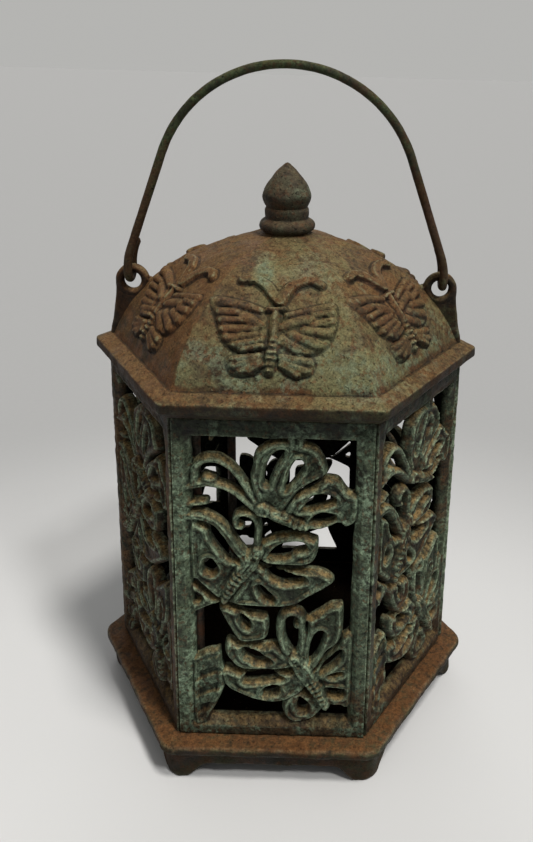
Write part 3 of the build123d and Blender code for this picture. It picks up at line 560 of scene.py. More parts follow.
def patina(name, ground, bloom, rust, dust, seed, bloom_share=0.5, rust_share=0.5, dust_share=0.8,
           upright_shade=1.0, foot=0.0, foot_range=(0.032, 0.014), pale=0.0, low_darkening=1.0,
           mottled=(0.78, 1.2), eaves_shade=1.0, polish=2.2, crevice=-0.18, settle=(0.25, 0.85), pitted=0.7):
    """Old cast iron: dark ground, greenish bloom, rust, ochre dust on upper faces, worn edges.

    foot rusts it and low_darkening darkens it over foot_range, eaves_shade is painted shade under the rim
    of the roof, upright_shade is painted shade on upright faces, and mottled gives the darkest and the
    lightest of its spots.
    """
    net = Net(bpy.data.materials.new(name))
    broad = net.noise(26, 4, 0.6, seed, 0.4)
    patch = net.noise(95, 6, 0.62, seed + 3.1, 0.3)
    fine = net.noise(420, 5, 0.65, seed + 7.7)
    grain = net.noise(1500, 4, 0.65, seed + 9.2)
    upward = net.height_of("Normal")
    height = net.height_of("Object")
    edge = net.attribute("edge")
    soot_shade_level = net.attribute("soot_shade_level")
    side = net.attribute("side")
    lean = net.times(side, 0.075)
    colour = net.mix(net.step(patch, 0.32, 0.68), shaded(ground, 0.36), ground)
    # Green bloom and rust in patches
    bloom_mask = net.plus(net.times(broad, 0.5), net.times(patch, 0.3))
    bloom_mask = net.plus(bloom_mask, net.times(fine, 0.2))
    middle = 0.5 + 0.16 * (0.5 - bloom_share)
    bloom_mask = net.step(net.plus(bloom_mask, lean), middle - 0.05, middle + 0.09)
    colour = net.mix(net.times(bloom_mask, 0.85), colour, bloom)
    rust_field = net.minus(net.noise(60, 7, 0.72, seed + 21.4, 0.5), lean)
    rust_field = net.plus(rust_field, net.step(height, *foot_range, 0.0, foot))
    middle = 0.5 + 0.16 * (0.5 - rust_share)
    rust_mask = net.step(rust_field, middle - 0.03, middle + 0.1)
    colour = net.mix(net.times(rust_mask, 0.8), colour, rust)
    # Chalky verdigris, and dust on what faces up
    chalk = net.step(net.plus(net.noise(48, 6, 0.68, seed + 51.0, 0.6), lean), 0.52, 0.63)
    chalk = net.times(chalk, net.step(fine, 0.42, 0.56))
    colour = net.mix(net.times(chalk, pale), colour, CHALK)
    dust_mask = net.times(net.step(upward, *settle), net.step(fine, 0.3, 0.6))
    dust_mask = net.times(dust_mask, net.step(side, 1.0, 2.4, 1.0, 0.1))
    colour = net.mix(net.times(dust_mask, dust_share), colour, dust)
    # Edges and crests worn light
    worn = net.times(net.step(edge, 0.06, 0.2), net.step(fine, 0.38, 0.6))
    light = shaded(bloom, polish, 0.03)
    colour = net.mix(net.times(worn, 0.7), colour, light)
    lines = net.attribute("lines")
    crest = net.times(net.step(lines, 0.5, 1.1), net.step(lines, 1.9, 1.3))
    crest = net.times(crest, net.step(patch, 0.4, 0.6))
    colour = net.mix(net.times(crest, 0.6), colour, light)
    # Painted shade and dirt in corners and creases; smoke-black and painted shade inside
    # Corners and creases painted near black: painted shade and dirt
    dark = net.times(net.step(edge, -0.02, crevice), 0.65)
    colour = net.mix(dark, colour, CREASE_SHADE_AND_DIRT)
    # Smoke-black and painted shade inside and in recesses, weaker on faces that look up
    soot_and_shade = net.times(net.step(soot_shade_level, 0.0, 0.95), net.step(upward, 0.75, 0.2, 0.35, 1.0))
    soot_and_shade = net.math("MAXIMUM", soot_and_shade, net.step(soot_shade_level, 0.75, 0.95))
    colour = net.mix(net.times(soot_and_shade, 0.93), colour, SOOT_SHADE_TONE)
    # Dots of rust and pale specks
    dots = net.times(net.step(net.noise(520, 3, 0.6, seed + 61.0), 0.54, 0.64), 0.6)
    colour = net.mix(net.times(dots, net.step(soot_shade_level, 0.6, 0.2)), colour, rust)
    speck = net.step(net.noise(700, 2, 0.5, seed + 31.0), 0.70, 0.76)
    colour = net.mix(net.times(speck, 0.5), colour, SPECK)
    # Shade: grain, pits, mottling, painted shade on upright faces, darker towards the foot,
    # painted shade under the rim of the roof, and the middle of wings
    pit = net.step(net.noise(850, 3, 0.6, seed + 41.0), 0.42, 0.33)
    # Painted shade on upright and downward faces
    shade = net.times(net.step(grain, 0.25, 0.75, 0.55, 1.45), net.step(upward, 0.35, 0.0, 1.0, upright_shade))
    shade = net.times(shade, net.minus(1.0, net.times(pit, pitted)))
    mottle = net.step(net.noise(420, 5, 0.7, seed + 71.0, 0.4), 0.34, 0.66, *mottled)
    shade = net.times(shade, mottle)
    # Darker towards the foot, over foot_range
    shade = net.times(shade, net.step(height, *foot_range, 1.0, low_darkening))
    # Painted shade under the rim of the roof
    shade = net.times(shade, net.step(height, *EAVES_SHADE_RANGE, 1.0, eaves_shade))
    shade = net.times(shade, net.step(lines, 1.9, 2.8, 1.0, 0.72))
    # Fine lines that follow the edges of the openwork
    wave = net.math("SINE", net.plus(net.times(lines, 6.6), net.times(fine, 3.0)))
    wave = net.times(net.step(wave, 0.2, 0.95), net.step(lines, 0.5, 1.0))
    wave = net.times(wave, net.step(patch, 0.38, 0.55))
    shade = net.times(shade, net.minus(1.0, net.times(wave, 0.22)))
    gray = net.add("ShaderNodeCombineColor", {0: shade, 1: shade, 2: shade})
    colour = net.mix(1.0, colour, gray.outputs[0], "MULTIPLY")
    rough = net.step(net.plus(patch, net.times(worn, -0.25)), 0.2, 0.8, 0.5, 0.86)
    skin = net.plus(net.times(fine, 0.6), net.times(grain, 0.4))
    skin = net.minus(skin, net.times(pit, 0.35))
    skin = net.minus(skin, net.times(wave, 0.35))
    shine = net.times(net.step(soot_and_shade, 0.9, 0.3), net.step(patch, 0.3, 0.7, 0.24, 0.12))
    return net.finish(colour, rough, skin, 0.8, 0.0008, shine=shine)


panel_iron = patina(
    "panel_iron", tone(48, 47, 35), tone(68, 79, 62), tone(74, 52, 32), tone(124, 101, 62), 1.0,
    rust_share=0.32, dust_share=0.85, settle=(0.36, 0.84), foot=0.22,
    foot_range=(0.045, 0.018), pale=0.9, low_darkening=0.48, mottled=(0.44, 1.68), eaves_shade=0.36, polish=2.9)
roof_iron = patina(
    "roof_iron", tone(80, 63, 42), tone(112, 112, 79), tone(92, 61, 36), tone(128, 104, 66), 5.0,
    bloom_share=0.4, rust_share=0.45, dust_share=0.4, upright_shade=0.27, pale=0.5, polish=1.35, crevice=-0.1,
    pitted=0.55)
base_iron = patina(
    "base_iron", tone(56, 48, 32), tone(66, 65, 44), tone(80, 52, 30), tone(106, 71, 41), 9.0,
    bloom_share=0.45, rust_share=0.42, upright_shade=0.46, mottled=(0.88, 1.12), pitted=0.35)
finial_iron = patina(
    "finial_iron", tone(72, 60, 45), tone(74, 79, 63), tone(80, 54, 35), tone(102, 84, 58), 13.0,
    bloom_share=0.4, dust_share=0.4, upright_shade=0.7, pale=0.4)
bail_iron = patina(
    "bail_wire", tone(48, 51, 34), tone(68, 80, 52), tone(66, 42, 26), tone(94, 84, 54), 17.0,
    bloom_share=0.55, rust_share=0.3, dust_share=0.4, upright_shade=0.8, foot=0.2, foot_range=(0.245, 0.205))


def dull_steel():
    """Blackened steel of rods, pins and nuts, rusting in patches."""
    net = Net(bpy.data.materials.new("fastener_steel"))
    patch = net.noise(160, 6, 0.65, 2.0, 0.3)
    fine = net.noise(900, 4, 0.6, 4.0)
    colour = net.mix(net.step(fine, 0.3, 0.7), tone(58, 54, 48), tone(92, 86, 76))
    colour = net.mix(net.step(patch, 0.46, 0.6, 0.0, 0.85), colour, tone(96, 60, 36))
    rough = net.step(patch, 0.35, 0.65, 0.42, 0.8)
    metal = net.step(patch, 0.46, 0.56, 0.75, 0.05)
    return net.finish(colour, rough, fine, 0.4, 0.0003, metal)


fastener_steel = dull_steel()


# Relief of the panels, in millimetres
PILLOW, LIP = 1.9, 1.3  # width of a rounded edge, and the thickness it starts from
JOIN = 0.8  # rounding where bars and bodies meet the wings
CELL_SHRINK = 0.36  # share of a cell's half width by which it is drawn in
RING_PITCH, FURROW_PITCH = 2.1, 7.6
BODY_HIGH, MOST_RELIEF = 1.65, 1.4
HATCH_MIDDLE = (15, 126)


def body_height(away, radius, along):
    """Ringed tail, grooved middle and a dip behind the head of one butterfly's body."""
    share = np.clip(1 - (away / radius) ** 2, 0, 1)
    tail = ramp(along, 10.0, 11.0)
    rings = 0.65 * np.cos(along * 2 * pi / RING_PITCH) * tail
    groove = 0.95 * bell(away / radius, 0.5, 0.17) * ramp(along, 3.4, 4.2) * (1 - tail)
    collar = 0.9 * bell(along, 2.9, 0.5)
    return (BODY_HIGH + rings - groove - collar) * np.sqrt(share)


def with_head(raised, far):
    """A body's height with the ring and knob of its head; far counts in radii of the head."""
    head = 1.1 * bell(far, 0.72, 0.24) + 0.9 * bell(far, 0, 0.3) + 0.35 * (far < 1)
    return np.where(far < 1.15, np.maximum(raised * ramp(far, 0.9, 1.15), head), raised)


def openwork(x, z):
    """Distance to wings, bars and bodies, the height of the bodies and the valleys beside them."""
    work = np.full(x.shape, FAR)
    for wing in wings:
        work = np.minimum(work, outline_distance(x, z, curve(wing, True)))
    hole = np.full(x.shape, FAR)
    for cell in cells:
        inside = outline_distance(x, z, curve(cell, True))
        hole = np.minimum(hole, inside - CELL_SHRINK * inside.min())
    work = np.maximum(work, -hole)
    for half_width, points in bars:
        away, radius, _ = nearest(x, z, curve([(*point, half_width) for point in points], steps=4))
        work = soft_min(work, away - radius, JOIN)
    raised = np.zeros_like(x)
    valley = np.zeros_like(x)
    for body in bodies:
        away, radius, along = nearest(x, z, curve(body, steps=5))
        work = soft_min(work, away - radius, JOIN)
        raised = np.maximum(raised, body_height(away, radius, along))
        head_x, head_z, head_radius = body[0]
        raised = with_head(raised, np.hypot(x - head_x, z - head_z) / head_radius)
        valley = np.maximum(valley, bell(away - radius, 0.3, 0.9))
    return work, raised, valley


def work_face(x, z, reach, raised, valley):
    """Face of the openwork: pillowed edges with a bead inside, a furrowed leaf and a hatched wing."""
    pillow = WORK_BACK + LIP + (WORK_FACE - WORK_BACK - LIP) * dome_profile(reach / PILLOW)
    contour = 0.35 * bell(reach, 1.5, 0.5) - 0.75 * ramp(reach, 2.1, 3.2) - 0.95 * valley
    leaf = outline_distance(x, z, curve(wings[-1], True))
    furrow = np.sin((z - 0.42 * x) * 2 * pi / FURROW_PITCH + 1.2)
    contour = contour - 1.5 * ramp(-leaf, 0.2, 1.6) * ramp(furrow, -0.2, 0.9)
    head_x, head_z, _ = bodies[0][0]
    fan = np.arctan2(z - head_z, x - head_x)
    hatch = ramp(np.hypot(x - HATCH_MIDDLE[0], z - HATCH_MIDDLE[1]), 11, 7) * ramp(reach, 0.4, 1.2)
    contour = contour - 0.14 * hatch * np.cos(78 * fan)
    return pillow + contour * ramp(reach, 0.8, 1.4) + raised


def frame_face(z, outer, inner):
    """Face of a panel's frame: a step, a slope towards the opening and rounded edges."""
    slope = np.clip((outer - 4.3) / 2.4, 0, 1) * (1 - ramp(z, 132, 140))
    face = PANEL_FACE - 0.3 * ramp(outer, 4.0, 4.5) - 2.0 * slope
    face -= 0.8 * (1 - dome_profile(outer))
    face -= 0.9 * (1 - dome_profile(inner / 0.9))
    return face


def panel_face(hinged, across, up):
    """One openwork panel in the plane of the front, its smoke-black and painted shade, and how far in from
    its edges.
    """
    trim = DOOR_GAP if hinged else 0.0
    low, high = PANEL_LOW + trim, PANEL_TOP - trim
    half = PANEL_FACE * TAN - PANEL_GAP
    xs = np.linspace(-half, half, across)
    zs = np.linspace(low, high, up)
    x, z = np.meshgrid(xs, zs, indexing="ij")
    plane = np.stack([x, np.zeros_like(x), z], -1)
    wander = cast_skin(plane, 3, (0.25, 9.0), (0.12, 3.2))
    beyond = np.abs(z - (OPEN_LOW + OPEN_HIGH) / 2) - (OPEN_HIGH - OPEN_LOW) / 2
    rim = wander - np.maximum(np.abs(x) - OPEN_HALF, beyond)
    work, raised, valley = openwork(x, z)
    work = work + wander
    outer = np.minimum(half - np.abs(x), np.minimum(z - low, high - z))
    open_face = work_face(x, z, -work, raised, valley)
    framed_face = np.maximum(frame_face(z, outer, -rim), np.where(work < 0, open_face, 0))
    face = np.where(rim < 0, framed_face, open_face)
    face = face + cast_skin(plane, 5, (0.16, 2.6), (0.09, 1.3))
    face = np.minimum(face, PANEL_FACE + MOST_RELIEF)
    back = np.where(rim < 0, PANEL_BACK, WORK_BACK)
    points, polygons, edge = sheet(xs, zs, soft_min(rim, work, 1.2))
    fields = (face, back, np.minimum(work, rim), rim, -work)
    front_out, back_out, nearby, rim, reach = (sampled(field, xs, zs, points) for field in fields)
    front_out = np.where(nearby > -1.0, np.maximum(front_out, WORK_BACK + 1.2), front_out)
    px, pz = points.T
    front_x = np.sign(px) * np.minimum(np.abs(px), front_out * TAN - PANEL_GAP)
    back_x = np.sign(px) * np.minimum(np.abs(px), back_out * TAN - PANEL_GAP)
    if hinged:
        knuckle = px > HINGE_ALONG
        swell = np.sqrt(HINGE_ROUND**2 - np.clip(px - HINGE_ALONG, 0, HINGE_ROUND) ** 2)
        front_x = np.where(knuckle, np.minimum(front_x, HINGE_ALONG + HINGE_ROUND), front_x)
        back_x = np.where(knuckle, np.minimum(back_x, HINGE_ALONG + HINGE_ROUND), back_x)
        front_out = np.where(knuckle, np.minimum(front_out, HINGE_OUT + swell), front_out)
        back_out = np.where(knuckle, np.maximum(back_out, HINGE_OUT - swell), back_out)
    front = np.column_stack([front_x, -front_out, pz])
    rear = np.column_stack([back_x, -back_out, pz])
    # Recesses of the face painted darker as shade; the back smoke-black and painted shade
    depth = ramp(np.where(rim < 0, 60.2, 60.6) - front_out, 0.0, 3.0)
    soot_and_shade = np.concatenate([0.6 * depth, np.full(len(points), INSIDE_SOOT_SHADE)])
    lines = np.where(rim < 0, 0.0, np.clip(reach, 0, 4))
    return shell(front, rear, polygons, edge), soot_and_shade, np.concatenate([lines, 0 * lines])


# The panels from the front round to the right: node, body, mesh and how green (or rusty) each is
front_panel = panel_face(False, 160, 294)
plain_panel = panel_face(False, 130, 240)
hinged_panel = panel_face(True, 130, 240)
rear_panel = panel_face(False, 104, 192)
panels = [("panel_front", "lantern", front_panel, 0.9), ("door_panel", "door", hinged_panel, -0.2),
          ("panel_back_right", "lantern", rear_panel, 0.5), ("panel_back", "lantern", rear_panel, -0.6),
          ("panel_back_left", "lantern", rear_panel, 0.2),
          ("panel_front_left", "lantern", plain_panel, -1.0)]
for turn, (node, body, panel, weather) in enumerate(panels):
    (points, faces), soot_and_shade, lines = panel
    solid = (turned(points, radians(60 * turn)), faces)
    piece(node + "_casting", solid, body, [node], panel_iron, rise=soot_and_shade,
          side=np.full(len(points), weather), lines=lines, flat_faces=True)


def relief_height(x, s):
    """Height of the roof butterfly over the dome, in millimetres."""
    high = np.zeros_like(x)
    for wing in roof_wings:
        high = np.maximum(high, 0.85 * ramp(0.5 - outline_distance(x, s, curve(wing, True, 4)), 0, 1.0))
    for lobe in roof_lobes:
        away, radius, _ = nearest(x, s, curve(lobe, steps=4))
        swell = 0.4 + 1.5 * np.sqrt(np.clip(1 - (away / (radius + 0.5)) ** 2, 0, 1))
        high = np.maximum(high, np.where(away < radius + 0.5, swell, 0))
    for horn in roof_horns:
        away, radius, _ = nearest(x, s, curve(horn, steps=4))
        high = np.maximum(high, 1.9 * ramp(radius + 0.8 - away, 0, 1.1))
    away, radius, _ = nearest(x, s, curve(roof_collar, steps=4))
    high = np.maximum(high, 2.2 * ramp(radius + 0.4 - away, 0, 1.3))
    away, radius, _ = nearest(x, s, curve(roof_thorax, steps=5))
    ridge = 1.6 + 0.6 * bell(away, 0, 0.8) - 0.5 * bell(away, 1.5, 0.4)
    high = np.maximum(high, ridge * ramp(radius + 0.4 - away, 0, 1.3))
    away, radius, along = nearest(x, s, curve(roof_abdomen, steps=5))
    rings = 1.8 + 0.35 * np.cos(along * 2 * pi / RING_PITCH)
    return np.maximum(high, rings * ramp(radius + 0.4 - away, 0, 1.4))


# Section of the roof's rim, as reach and height: outside from the dome down, then inside and up
RIM_OUTSIDE = [
    (60.35, 156.75), (60.7, 156.65), (61.1, 156.75), (61.4, 156.7), (61.7, 156.45), (62.2, 156.15),
    (62.9, 155.85), (63.8, 155.5), (64.6, 155.2), (65.3, 154.95), (65.8, 154.75), (66.1, 154.5),
    (66.2, 154.15), (66.25, 153.4), (66.25, 152.6), (66.25, 151.8), (66.2, 151.2), (66.05, 150.85),
    (65.7, 150.6), (65.0, 150.2), (64.2, 149.5), (63.3, 148.7), (62.5, 148.15)]
RIM_INSIDE = [(62.0, PANEL_TOP), (58.0, PANEL_TOP), (53.9, PANEL_TOP), (53.9, 150.0), (53.9, 156.0),
              (53.9, 162.0)]


def roof_shell():
    """Hollow roof without its ears, how far its relief stands out, and its first point inside."""
    columns = 80
    crown = [(STUD_HOLE, CROWN_TOP), (8.1, CROWN_TOP), (8.4, 199.8)]
    rows = [level(round_ring(radius, columns), z) for radius, z in crown]
    standing = [np.zeros(6 * columns)] * len(rows)
    foot_angle = np.arcsin((DOME_FOOT - DOME_CENTRE) / DOME_RADIUS)
    above_relief = np.linspace(radians(79), radians(61), 12)
    over_relief = np.linspace(radians(60.4), foot_angle, 98)
    for angle in np.concatenate([above_relief, over_relief]):
        reach = DOME_RADIUS * cos(angle)
        plan = hex_ring(reach, min(2.2, 0.1 * reach), columns)
        row = level(plan, DOME_CENTRE + DOME_RADIUS * sin(angle))
        side_x = reach * TAN * np.linspace(-1, 1, columns, endpoint=False)
        arc = np.full(columns, DOME_RADIUS * (angle - radians(RELIEF_ANGLE)))
        lift = np.tile(relief_height(side_x, arc), 6) + cast_skin(row, 11, (0.2, 5.0), (0.14, 2.2))
        turn = np.repeat(np.arange(6) * radians(60), columns)
        normal = np.column_stack([np.sin(turn) * cos(angle), -np.cos(turn) * cos(angle),
                                  np.full(len(turn), sin(angle))])
        rows.append(row + lift[:, None] * normal)
        standing.append(lift)
    first_inside = (len(rows) + len(RIM_OUTSIDE)) * 6 * columns
    for reach, z in RIM_OUTSIDE + RIM_INSIDE:
        row = level(hex_ring(reach, 2.2, columns), z)
        rows.append(pushed_out(row, cast_skin(row, 13, (0.16, 6.0), (0.10, 2.4)) * (reach > 60.5)))
    for angle in np.linspace(radians(26.5), radians(82), 14):
        reach = DOME_INSIDE * cos(angle)
        plan = hex_ring(reach, min(2.0, 0.1 * reach), columns)
        rows.append(level(plan, DOME_CENTRE + DOME_INSIDE * sin(angle)))
    rows.append(level(round_ring(7.6, columns), 194.6))
    rows.append(level(round_ring(STUD_HOLE, columns), CROWN_UNDER))
    rows.append(rows[0])
    return ring_grid(rows), np.concatenate(standing), first_inside


def roof_ear():
    """Right ear of the roof: a ring for the handle on a web that thins towards its edges."""
    xs = np.linspace(46.0, 71.0, 58)
    zs = np.linspace(152.0, 188.0, 84)
    x, z = np.meshgrid(xs, zs, indexing="ij")
    web = curve([(66.4, 178.0), (67.4, 172.0), (68.6, 164.0), (70.1, 155.0), (66.0, 153.4), (58.0, 158.0),
                 (52.0, 168.0), (51.0, 176.0), (53.5, 180.0), (58.0, 174.5), (63.0, 174.0)], True)
    from_eye = np.hypot(x - EAR_X, z - EAR_Z)
    ring = np.abs(from_eye - EAR_RING) - EAR_BAR
    hole = from_eye - (EAR_RING - EAR_BAR)
    field = np.maximum(soft_min(outline_distance(x, z, web), ring, 1.0), -hole)
    plane = np.stack([x, np.zeros_like(x), z], -1)
    points, polygons, edge = sheet(xs, zs, field + 0.12 * lumps(plane, 3.0, 15))
    px, pz = points.T
    from_ring = np.abs(np.hypot(px - EAR_X, pz - EAR_Z) - EAR_RING)
    thick = np.maximum(1.9 * np.sqrt(np.clip(1 - (from_ring / 1.7) ** 2, 0, 1)), 0.35)
    within = -outline_distance(px, pz, web)
    thick = np.maximum(thick, 0.35 + 1.35 * dome_profile(within / 1.6) * (within > 0))
    thick = thick + 0.1 * lumps(np.column_stack([px, 0 * px, pz]), 2.4, 16)
    return shell(np.column_stack([px, -thick, pz]), np.column_stack([px, thick, pz]), polygons, edge)


def rod_sockets():
    """Sockets inside the rim for the upper ends of the three tie rods."""
    section = [(ROD_HOLE, SOCKET_TOP), (5.0, SOCKET_TOP), (5.0, 148.6), (4.6, PANEL_TOP),
               (ROD_HOLE, PANEL_TOP), (ROD_HOLE, SOCKET_TOP)]
    points, faces = ring_grid([level(round_ring(radius, 6) + [ROD_REACH, 0], z) for radius, z in section])
    return [(turned(points, radians(bearing)), faces) for bearing in (0, 120, 240)]


def roof_casting():
    """Domed roof with its ears and sockets, its smoke-black and painted shade inside, and how green (or
    rusty) each part is.
    """
    dome, standing, first_inside = roof_shell()
    ear_points, ear_faces = roof_ear()
    ears = [(ear_points, ear_faces), (turned(ear_points, pi), ear_faces)]
    points, faces = joined(dome, *ears, *rod_sockets())
    # The inside of the dome painted dark: smoke-black and painted shade
    soot_shade_values = np.zeros(len(points))
    soot_shade_values[first_inside:len(dome[0])] = INSIDE_SOOT_SHADE
    px, py, pz = points.T
    face = np.floor((np.degrees(np.arctan2(py, px)) + 120) / 60).astype(int) % 6
    tint = np.array([0.2, -0.3, -0.7, 0.1, -1.0, -1.6])[face]
    tint += 0.8 * ramp(pz, 157.6, 159.5) * (1 - ramp(pz, 166, 184))
    tint += 4.0 * bell(px, -5.5, 3.0) * bell(pz, 191.2, 3.0) * (py < 0)
    tint[:len(standing)] -= 0.45 * ramp(standing, 0.5, 1.3)
    return (points, faces), soot_shade_values, tint


roof_solid, roof_soot_shade, roof_side = roof_casting()
piece("roof_casting", roof_solid, "lantern", ["roof"], roof_iron, rise=roof_soot_shade,
      side=roof_side)


def base_casting():
    """Round-cornered hexagon plate on an apron cut into six feet by low arches, and its smoke-black and
    painted shade.
    """
    columns = 72
    top = [(2.0, 0.0), (20.0, 3.0), (40.0, 5.0), (54.0, 6.0), (60.0, 6.4), (64.0, 6.7), (66.4, 7.0)]
    edge = [(67.8, 16.38), (68.5, 16.2), (69.0, 15.75), (69.2, 15.1), (69.2, 14.2), (69.15, 13.4),
            (68.7, 12.8), (68.1, 12.3), (67.3, 12.0), (66.5, 11.9), (66.15, 11.6)]
    plate = [(reach, PANEL_LOW, corner) for reach, corner in top] + [(reach, z, 7.0) for reach, z in edge]
    rows = []
    for reach, z, corner in plate:
        row = level(hex_ring(reach, corner, columns), z)
        row = pushed_out(row, cast_skin(row, 21, (0.25, 6.0), (0.2, 2.4)) * (reach > 66))
        row[:, 2] += 0.1 * lumps(row, 3.0, 23) * (z > 15) * (reach > 50)
        rows.append(row)
    # Apron, as reach and share of the height between the arch and the plate
    outside = [(66.1, 0.85), (66.05, 0.65), (66.0, 0.45), (66.0, 0.28), (66.0, 0.14), (65.9, 0.05)]
    inside = [(65.5, 0.0), (62.2, 0.0), (61.6, 0.05), (61.5, 0.4), (61.5, 1.0)]
    for reach, share in outside + inside:
        x = np.abs(reach * TAN * np.linspace(-1, 1, columns, endpoint=False))
        low = np.tile(ARCH_HIGH * (1 - ramp(x, ARCH_TOP_HALF, ARCH_FOOT_HALF)), 6)
        row = level(hex_ring(reach, 6.5, columns), low + share * (11.7 - low))
        rows.append(pushed_out(row, cast_skin(row, 24, (0.3, 5.0), (0.22, 2.2)) * (reach > 65)))
    rows.append(level(hex_ring(60.8, 6.5, columns), PLATE_UNDER))
    rows.append(level(hex_ring(30.0, 3.0, columns), PLATE_UNDER))
    rows.append(level(round_ring(2.0, columns), PLATE_UNDER))
    rows.append(rows[0])
    # Floor inside and the underside painted dark: smoke-black and painted shade
    soot_and_shade = list(np.interp([reach for reach, _, _ in plate], (54.0, 60.0, 64.0), (INSIDE_SOOT_SHADE, 0.6, 0.0)))
    soot_and_shade += [0.0] * len(outside)
    soot_and_shade += [0.5] * (len(rows) - len(soot_and_shade))
    return ring_grid(rows), np.repeat(soot_and_shade, 6 * columns)


base_solid, base_soot_shade = base_casting()
piece("base_casting", base_solid, "lantern", ["base_plate"], base_iron, rise=base_soot_shade)


def finial_casting():
    """Bud on a rounded collar and a ring."""
    columns = 12
    outline = [(2.0, 0.0), (8.4, 0.0), (9.8, 0.4), (10.6, 1.3), (10.75, 2.4), (10.4, 3.5), (9.5, 4.4),
               (8.7, 4.9), (8.4, 5.3), (8.55, 6.2), (8.6, 7.3), (8.5, 8.4), (8.15, 9.1), (7.9, 9.5),
               (8.2, 9.9), (8.75, 11.0), (9.25, 12.4), (9.5, 13.7), (9.35, 14.7), (8.8, 16.0), (7.95, 17.5),
               (6.95, 19.1), (5.85, 20.7), (4.75, 22.1), (3.6, 23.4), (2.5, 24.5), (1.5, 25.4), (0.75, 26.0),
               (0.2, 26.2)]
    rows = []
    for radius, z in curve(outline[::-1], steps=3):
        row = level(round_ring(radius, columns), CROWN_TOP + z)
        lift = cast_skin(row, 31, (0.3, 4.5), (0.16, 1.9)) * min(1.0, radius / 4)
        row[:, :2] *= (1 + lift / max(radius, 0.5))[:, None]
        rows.append(row)
    points, faces = ring_grid(rows)
    around = 6 * columns
    top = list(range(around))
    bottom = [len(points) - 1 - i for i in range(around)]
    return points, faces + [top, bottom]


piece("finial_casting", finial_casting(), "lantern", ["finial"], finial_iron)


def bail_line():
    """Centre line of the handle from the end of one hook to the other."""
    lean, bend, rise = radians(19.5), 25.0, 78.7
    grip = EAR_X + 0.8
    bend_x = grip - bend * (1 - cos(lean))
    bend_z = BAIL_AXIS + bend * sin(lean)
    bow = (bend_x / tan(lean) - (BAIL_AXIS + rise - bend_z)) / (1 / sin(lean) - 1)
    middle = BAIL_AXIS + rise - bow
    leg_x, leg_z = bow * cos(lean), middle + bow * sin(lean)
    line = [(grip - 0.02 * z * z, HOOK, BAIL_AXIS + z) for z in np.linspace(11.0, 0.8, 11)]
    line += [(grip, HOOK * cos(a), BAIL_AXIS - HOOK * sin(a)) for a in np.linspace(0, pi, 22)]
    for a in np.linspace(0.04, lean, 10):
        line.append((grip - bend * (1 - cos(a)), -HOOK, BAIL_AXIS + bend * sin(a)))
    for t in np.linspace(0.05, 1, 16):
        line.append((bend_x + t * (leg_x - bend_x), -HOOK, bend_z + t * (leg_z - bend_z)))
    line += [(bow * cos(a), -HOOK, middle + bow * sin(a)) for a in np.linspace(lean + 0.03, pi / 2, 46)]
    right = np.array(line)
    left = right[-2::-1] * [-1, 1, 1]
    return np.vstack([right, left])


def swept(line, radius, around=20, seed=41):
    """Round bar along a line, with domed ends and a slightly uneven surface."""
    steps = np.gradient(line, axis=0)
    steps /= np.linalg.norm(steps, axis=1)[:, None]
    side = np.array([1.0, 0, 0])
    rows = []
    size = np.concatenate([[0], np.cumsum(np.linalg.norm(np.diff(line, axis=0), axis=1))])
    for point, way, run in zip(line, steps, size):
        side = side - way * (side @ way)
        side /= np.linalg.norm(side)
        other = np.cross(way, side)
        end = min(run, size[-1] - run)
        width = radius * (0.55 + 0.45 * dome_profile(end / 1.4))
        angle = np.linspace(0, 2 * pi, around, endpoint=False)[:, None]
        row = point + width * (np.cos(angle) * side + np.sin(angle) * other)
        lift = cast_skin(row, seed, (0.06, 3.5), (0.04, 1.4))
        rows.append(row + lift[:, None] * (row - point) / width)
    points, faces = ring_grid(rows)
    last = len(points) - around
    faces = [face[::-1] for face in faces]
    return points, faces + [list(range(around)), [last + i for i in reversed(range(around))]]


piece("bail_wire", swept(bail_line(), WIRE), "bail", ["bail_handle"], bail_iron, sharp=60)

for node in ("door_pin_top", "door_pin_bottom", "finial_stud", "finial_washer", "finial_nut",
             "tie_rod_right", "tie_rod_back_left", "tie_rod_front_left", "rod_washers", "rod_nuts"):
    thing = bpy.data.objects[node]
    thing.data.materials.clear()
    thing.data.materials.append(fastener_steel)


def lay_floor():
    """Pale floor with a painted pool of light round the lantern: darker far from it."""
    net = Net(bpy.data.materials.new("floor"))
    cloud = net.noise(7, 3, 0.5, 1.0)
    fine = net.noise(300, 3, 0.5, 2.0)
    reach = net.add("ShaderNodeVectorMath", {0: net.coord.outputs["Object"]}, operation="LENGTH")
    pale = net.mix(net.step(cloud, 0.3, 0.7), (0.635, 0.64, 0.645, 1.0), (0.655, 0.66, 0.665, 1.0))
    # Painted pool of light: darker from 0.12 m out to 0.40 m from the floor's middle
    colour = net.mix(net.step(reach.outputs["Value"], 0.12, 0.40), pale, (0.376, 0.380, 0.384, 1.0))
    material = net.finish(colour, net.step(fine, 0.3, 0.7, 0.75, 0.85), fine, 0.05, 0.0002)
    mesh = bpy.data.meshes.new("floor")
    count = 13
    steps = np.linspace(-6, 6, count)
    points = [(float(x), float(y), 0.0) for y in steps for x in steps]
    starts = [i + count * j for j in range(count - 1) for i in range(count - 1)]
    mesh.from_pydata(points, [], [(s, s + 1, s + count + 1, s + count) for s in starts])
    mesh.materials.append(material)
    floor = bpy.data.objects.new("floor", mesh)
    floor.location = (0.0, -0.1, 0.0)
    bpy.context.scene.collection.objects.link(floor)


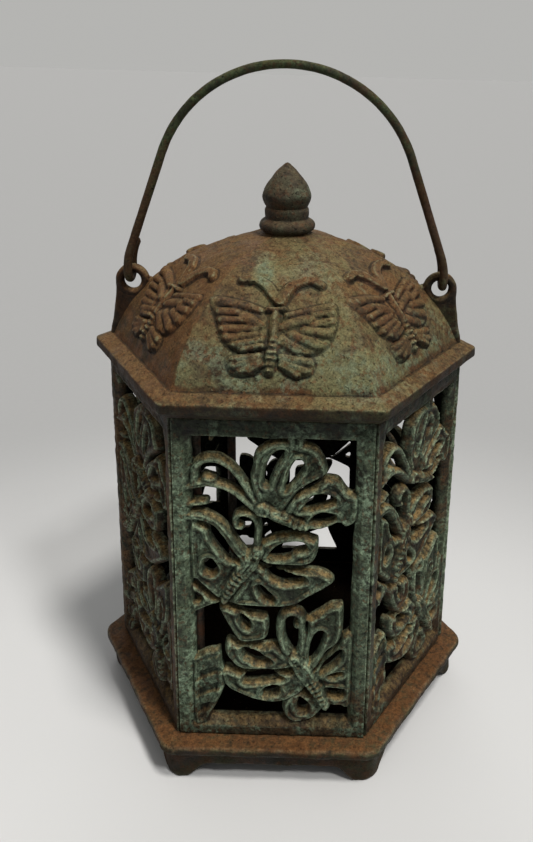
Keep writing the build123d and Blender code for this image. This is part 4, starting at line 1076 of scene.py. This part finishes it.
def hang_lamps():
    """Soft lamps, each with the way to it, its power, its width in degrees and its colour."""
    lamps = [("key", (0.26, -0.25, 1.0), 1.65, 10, (1.0, 0.97, 0.92)),
             ("front", (0.55, -0.62, 1.15), 1.2, 8, (1.0, 0.98, 0.95)),
             ("back", (-0.15, 0.8, 0.7), 0.3, 40, (1.0, 1.0, 1.0))]
    for name, way, power, spread, colour in lamps:
        lamp = bpy.data.lights.new(name, "SUN")
        lamp.energy = power
        lamp.angle = radians(spread)
        lamp.color = colour
        thing = bpy.data.objects.new(name, lamp)
        thing.rotation_euler = Vector(way).to_track_quat("Z", "Y").to_euler()
        bpy.context.scene.collection.objects.link(thing)


def light_sky():
    """Soft light from all round, brighter from above; what is seen of it directly is a plain grey."""
    net = Net(bpy.data.worlds.new("studio"))
    height = net.height_of("Generated")
    climb = net.add("ShaderNodeMapRange", {"Value": height, "To Min": 0.10, "To Max": 0.40})
    light = {"Color": (1.0, 0.99, 0.96, 1.0), "Strength": climb.outputs["Result"]}
    sky = net.add("ShaderNodeBackground", light)
    plain = net.add("ShaderNodeBackground", {"Color": (0.461, 0.459, 0.445, 1.0)})
    path = net.add("ShaderNodeLightPath")
    seen = net.math("MAXIMUM", path.outputs["Is Camera Ray"], path.outputs["Is Glossy Ray"])
    seen = net.math("MAXIMUM", seen, path.outputs["Is Transmission Ray"])
    swap = net.add("ShaderNodeMixShader", {0: seen, 1: sky.outputs[0], 2: plain.outputs[0]})
    net.add("ShaderNodeOutputWorld", {"Surface": swap.outputs[0]})
    bpy.context.scene.world = net.owner


# The photograph's camera: its place in metres, its angles in radians, and in pixels the height of the
# picture, the focal length and how far the middle of the lens is from the middle of the picture
CAMERA_PLACE = (0.021685, -0.334688, 0.273051)
PITCH, ROLL, YAW = 0.304, 0.029, -0.001
PICTURE_HIGH, FOCAL, SHIFT_X, SHIFT_Y = 842, 881.589, -75, -110
SENSOR = 36


def set_camera():
    """Camera a little above the lantern and to its right."""
    ahead = np.array([-sin(YAW) * cos(PITCH), cos(YAW) * cos(PITCH), -sin(PITCH)])
    level_right = np.array([cos(YAW), sin(YAW), 0.0])
    level_up = np.cross(level_right, ahead)
    right = cos(ROLL) * level_right + sin(ROLL) * level_up
    above = cos(ROLL) * level_up - sin(ROLL) * level_right
    camera = bpy.data.objects.new("camera", bpy.data.cameras.new("camera"))
    matrix = Matrix.Identity(4)
    for i in range(3):
        matrix[i][0], matrix[i][1], matrix[i][2] = right[i], above[i], -ahead[i]
    matrix.translation = CAMERA_PLACE
    camera.matrix_world = matrix
    camera.data.lens = SENSOR * FOCAL / PICTURE_HIGH
    camera.data.sensor_width = SENSOR
    camera.data.shift_x = SHIFT_X / PICTURE_HIGH
    camera.data.shift_y = SHIFT_Y / PICTURE_HIGH
    camera.data.clip_start = 0.01
    bpy.context.scene.collection.objects.link(camera)
    bpy.context.scene.camera = camera
    bpy.context.scene.view_settings.view_transform = "Standard"


lay_floor()
hang_lamps()
light_sky()
set_camera()
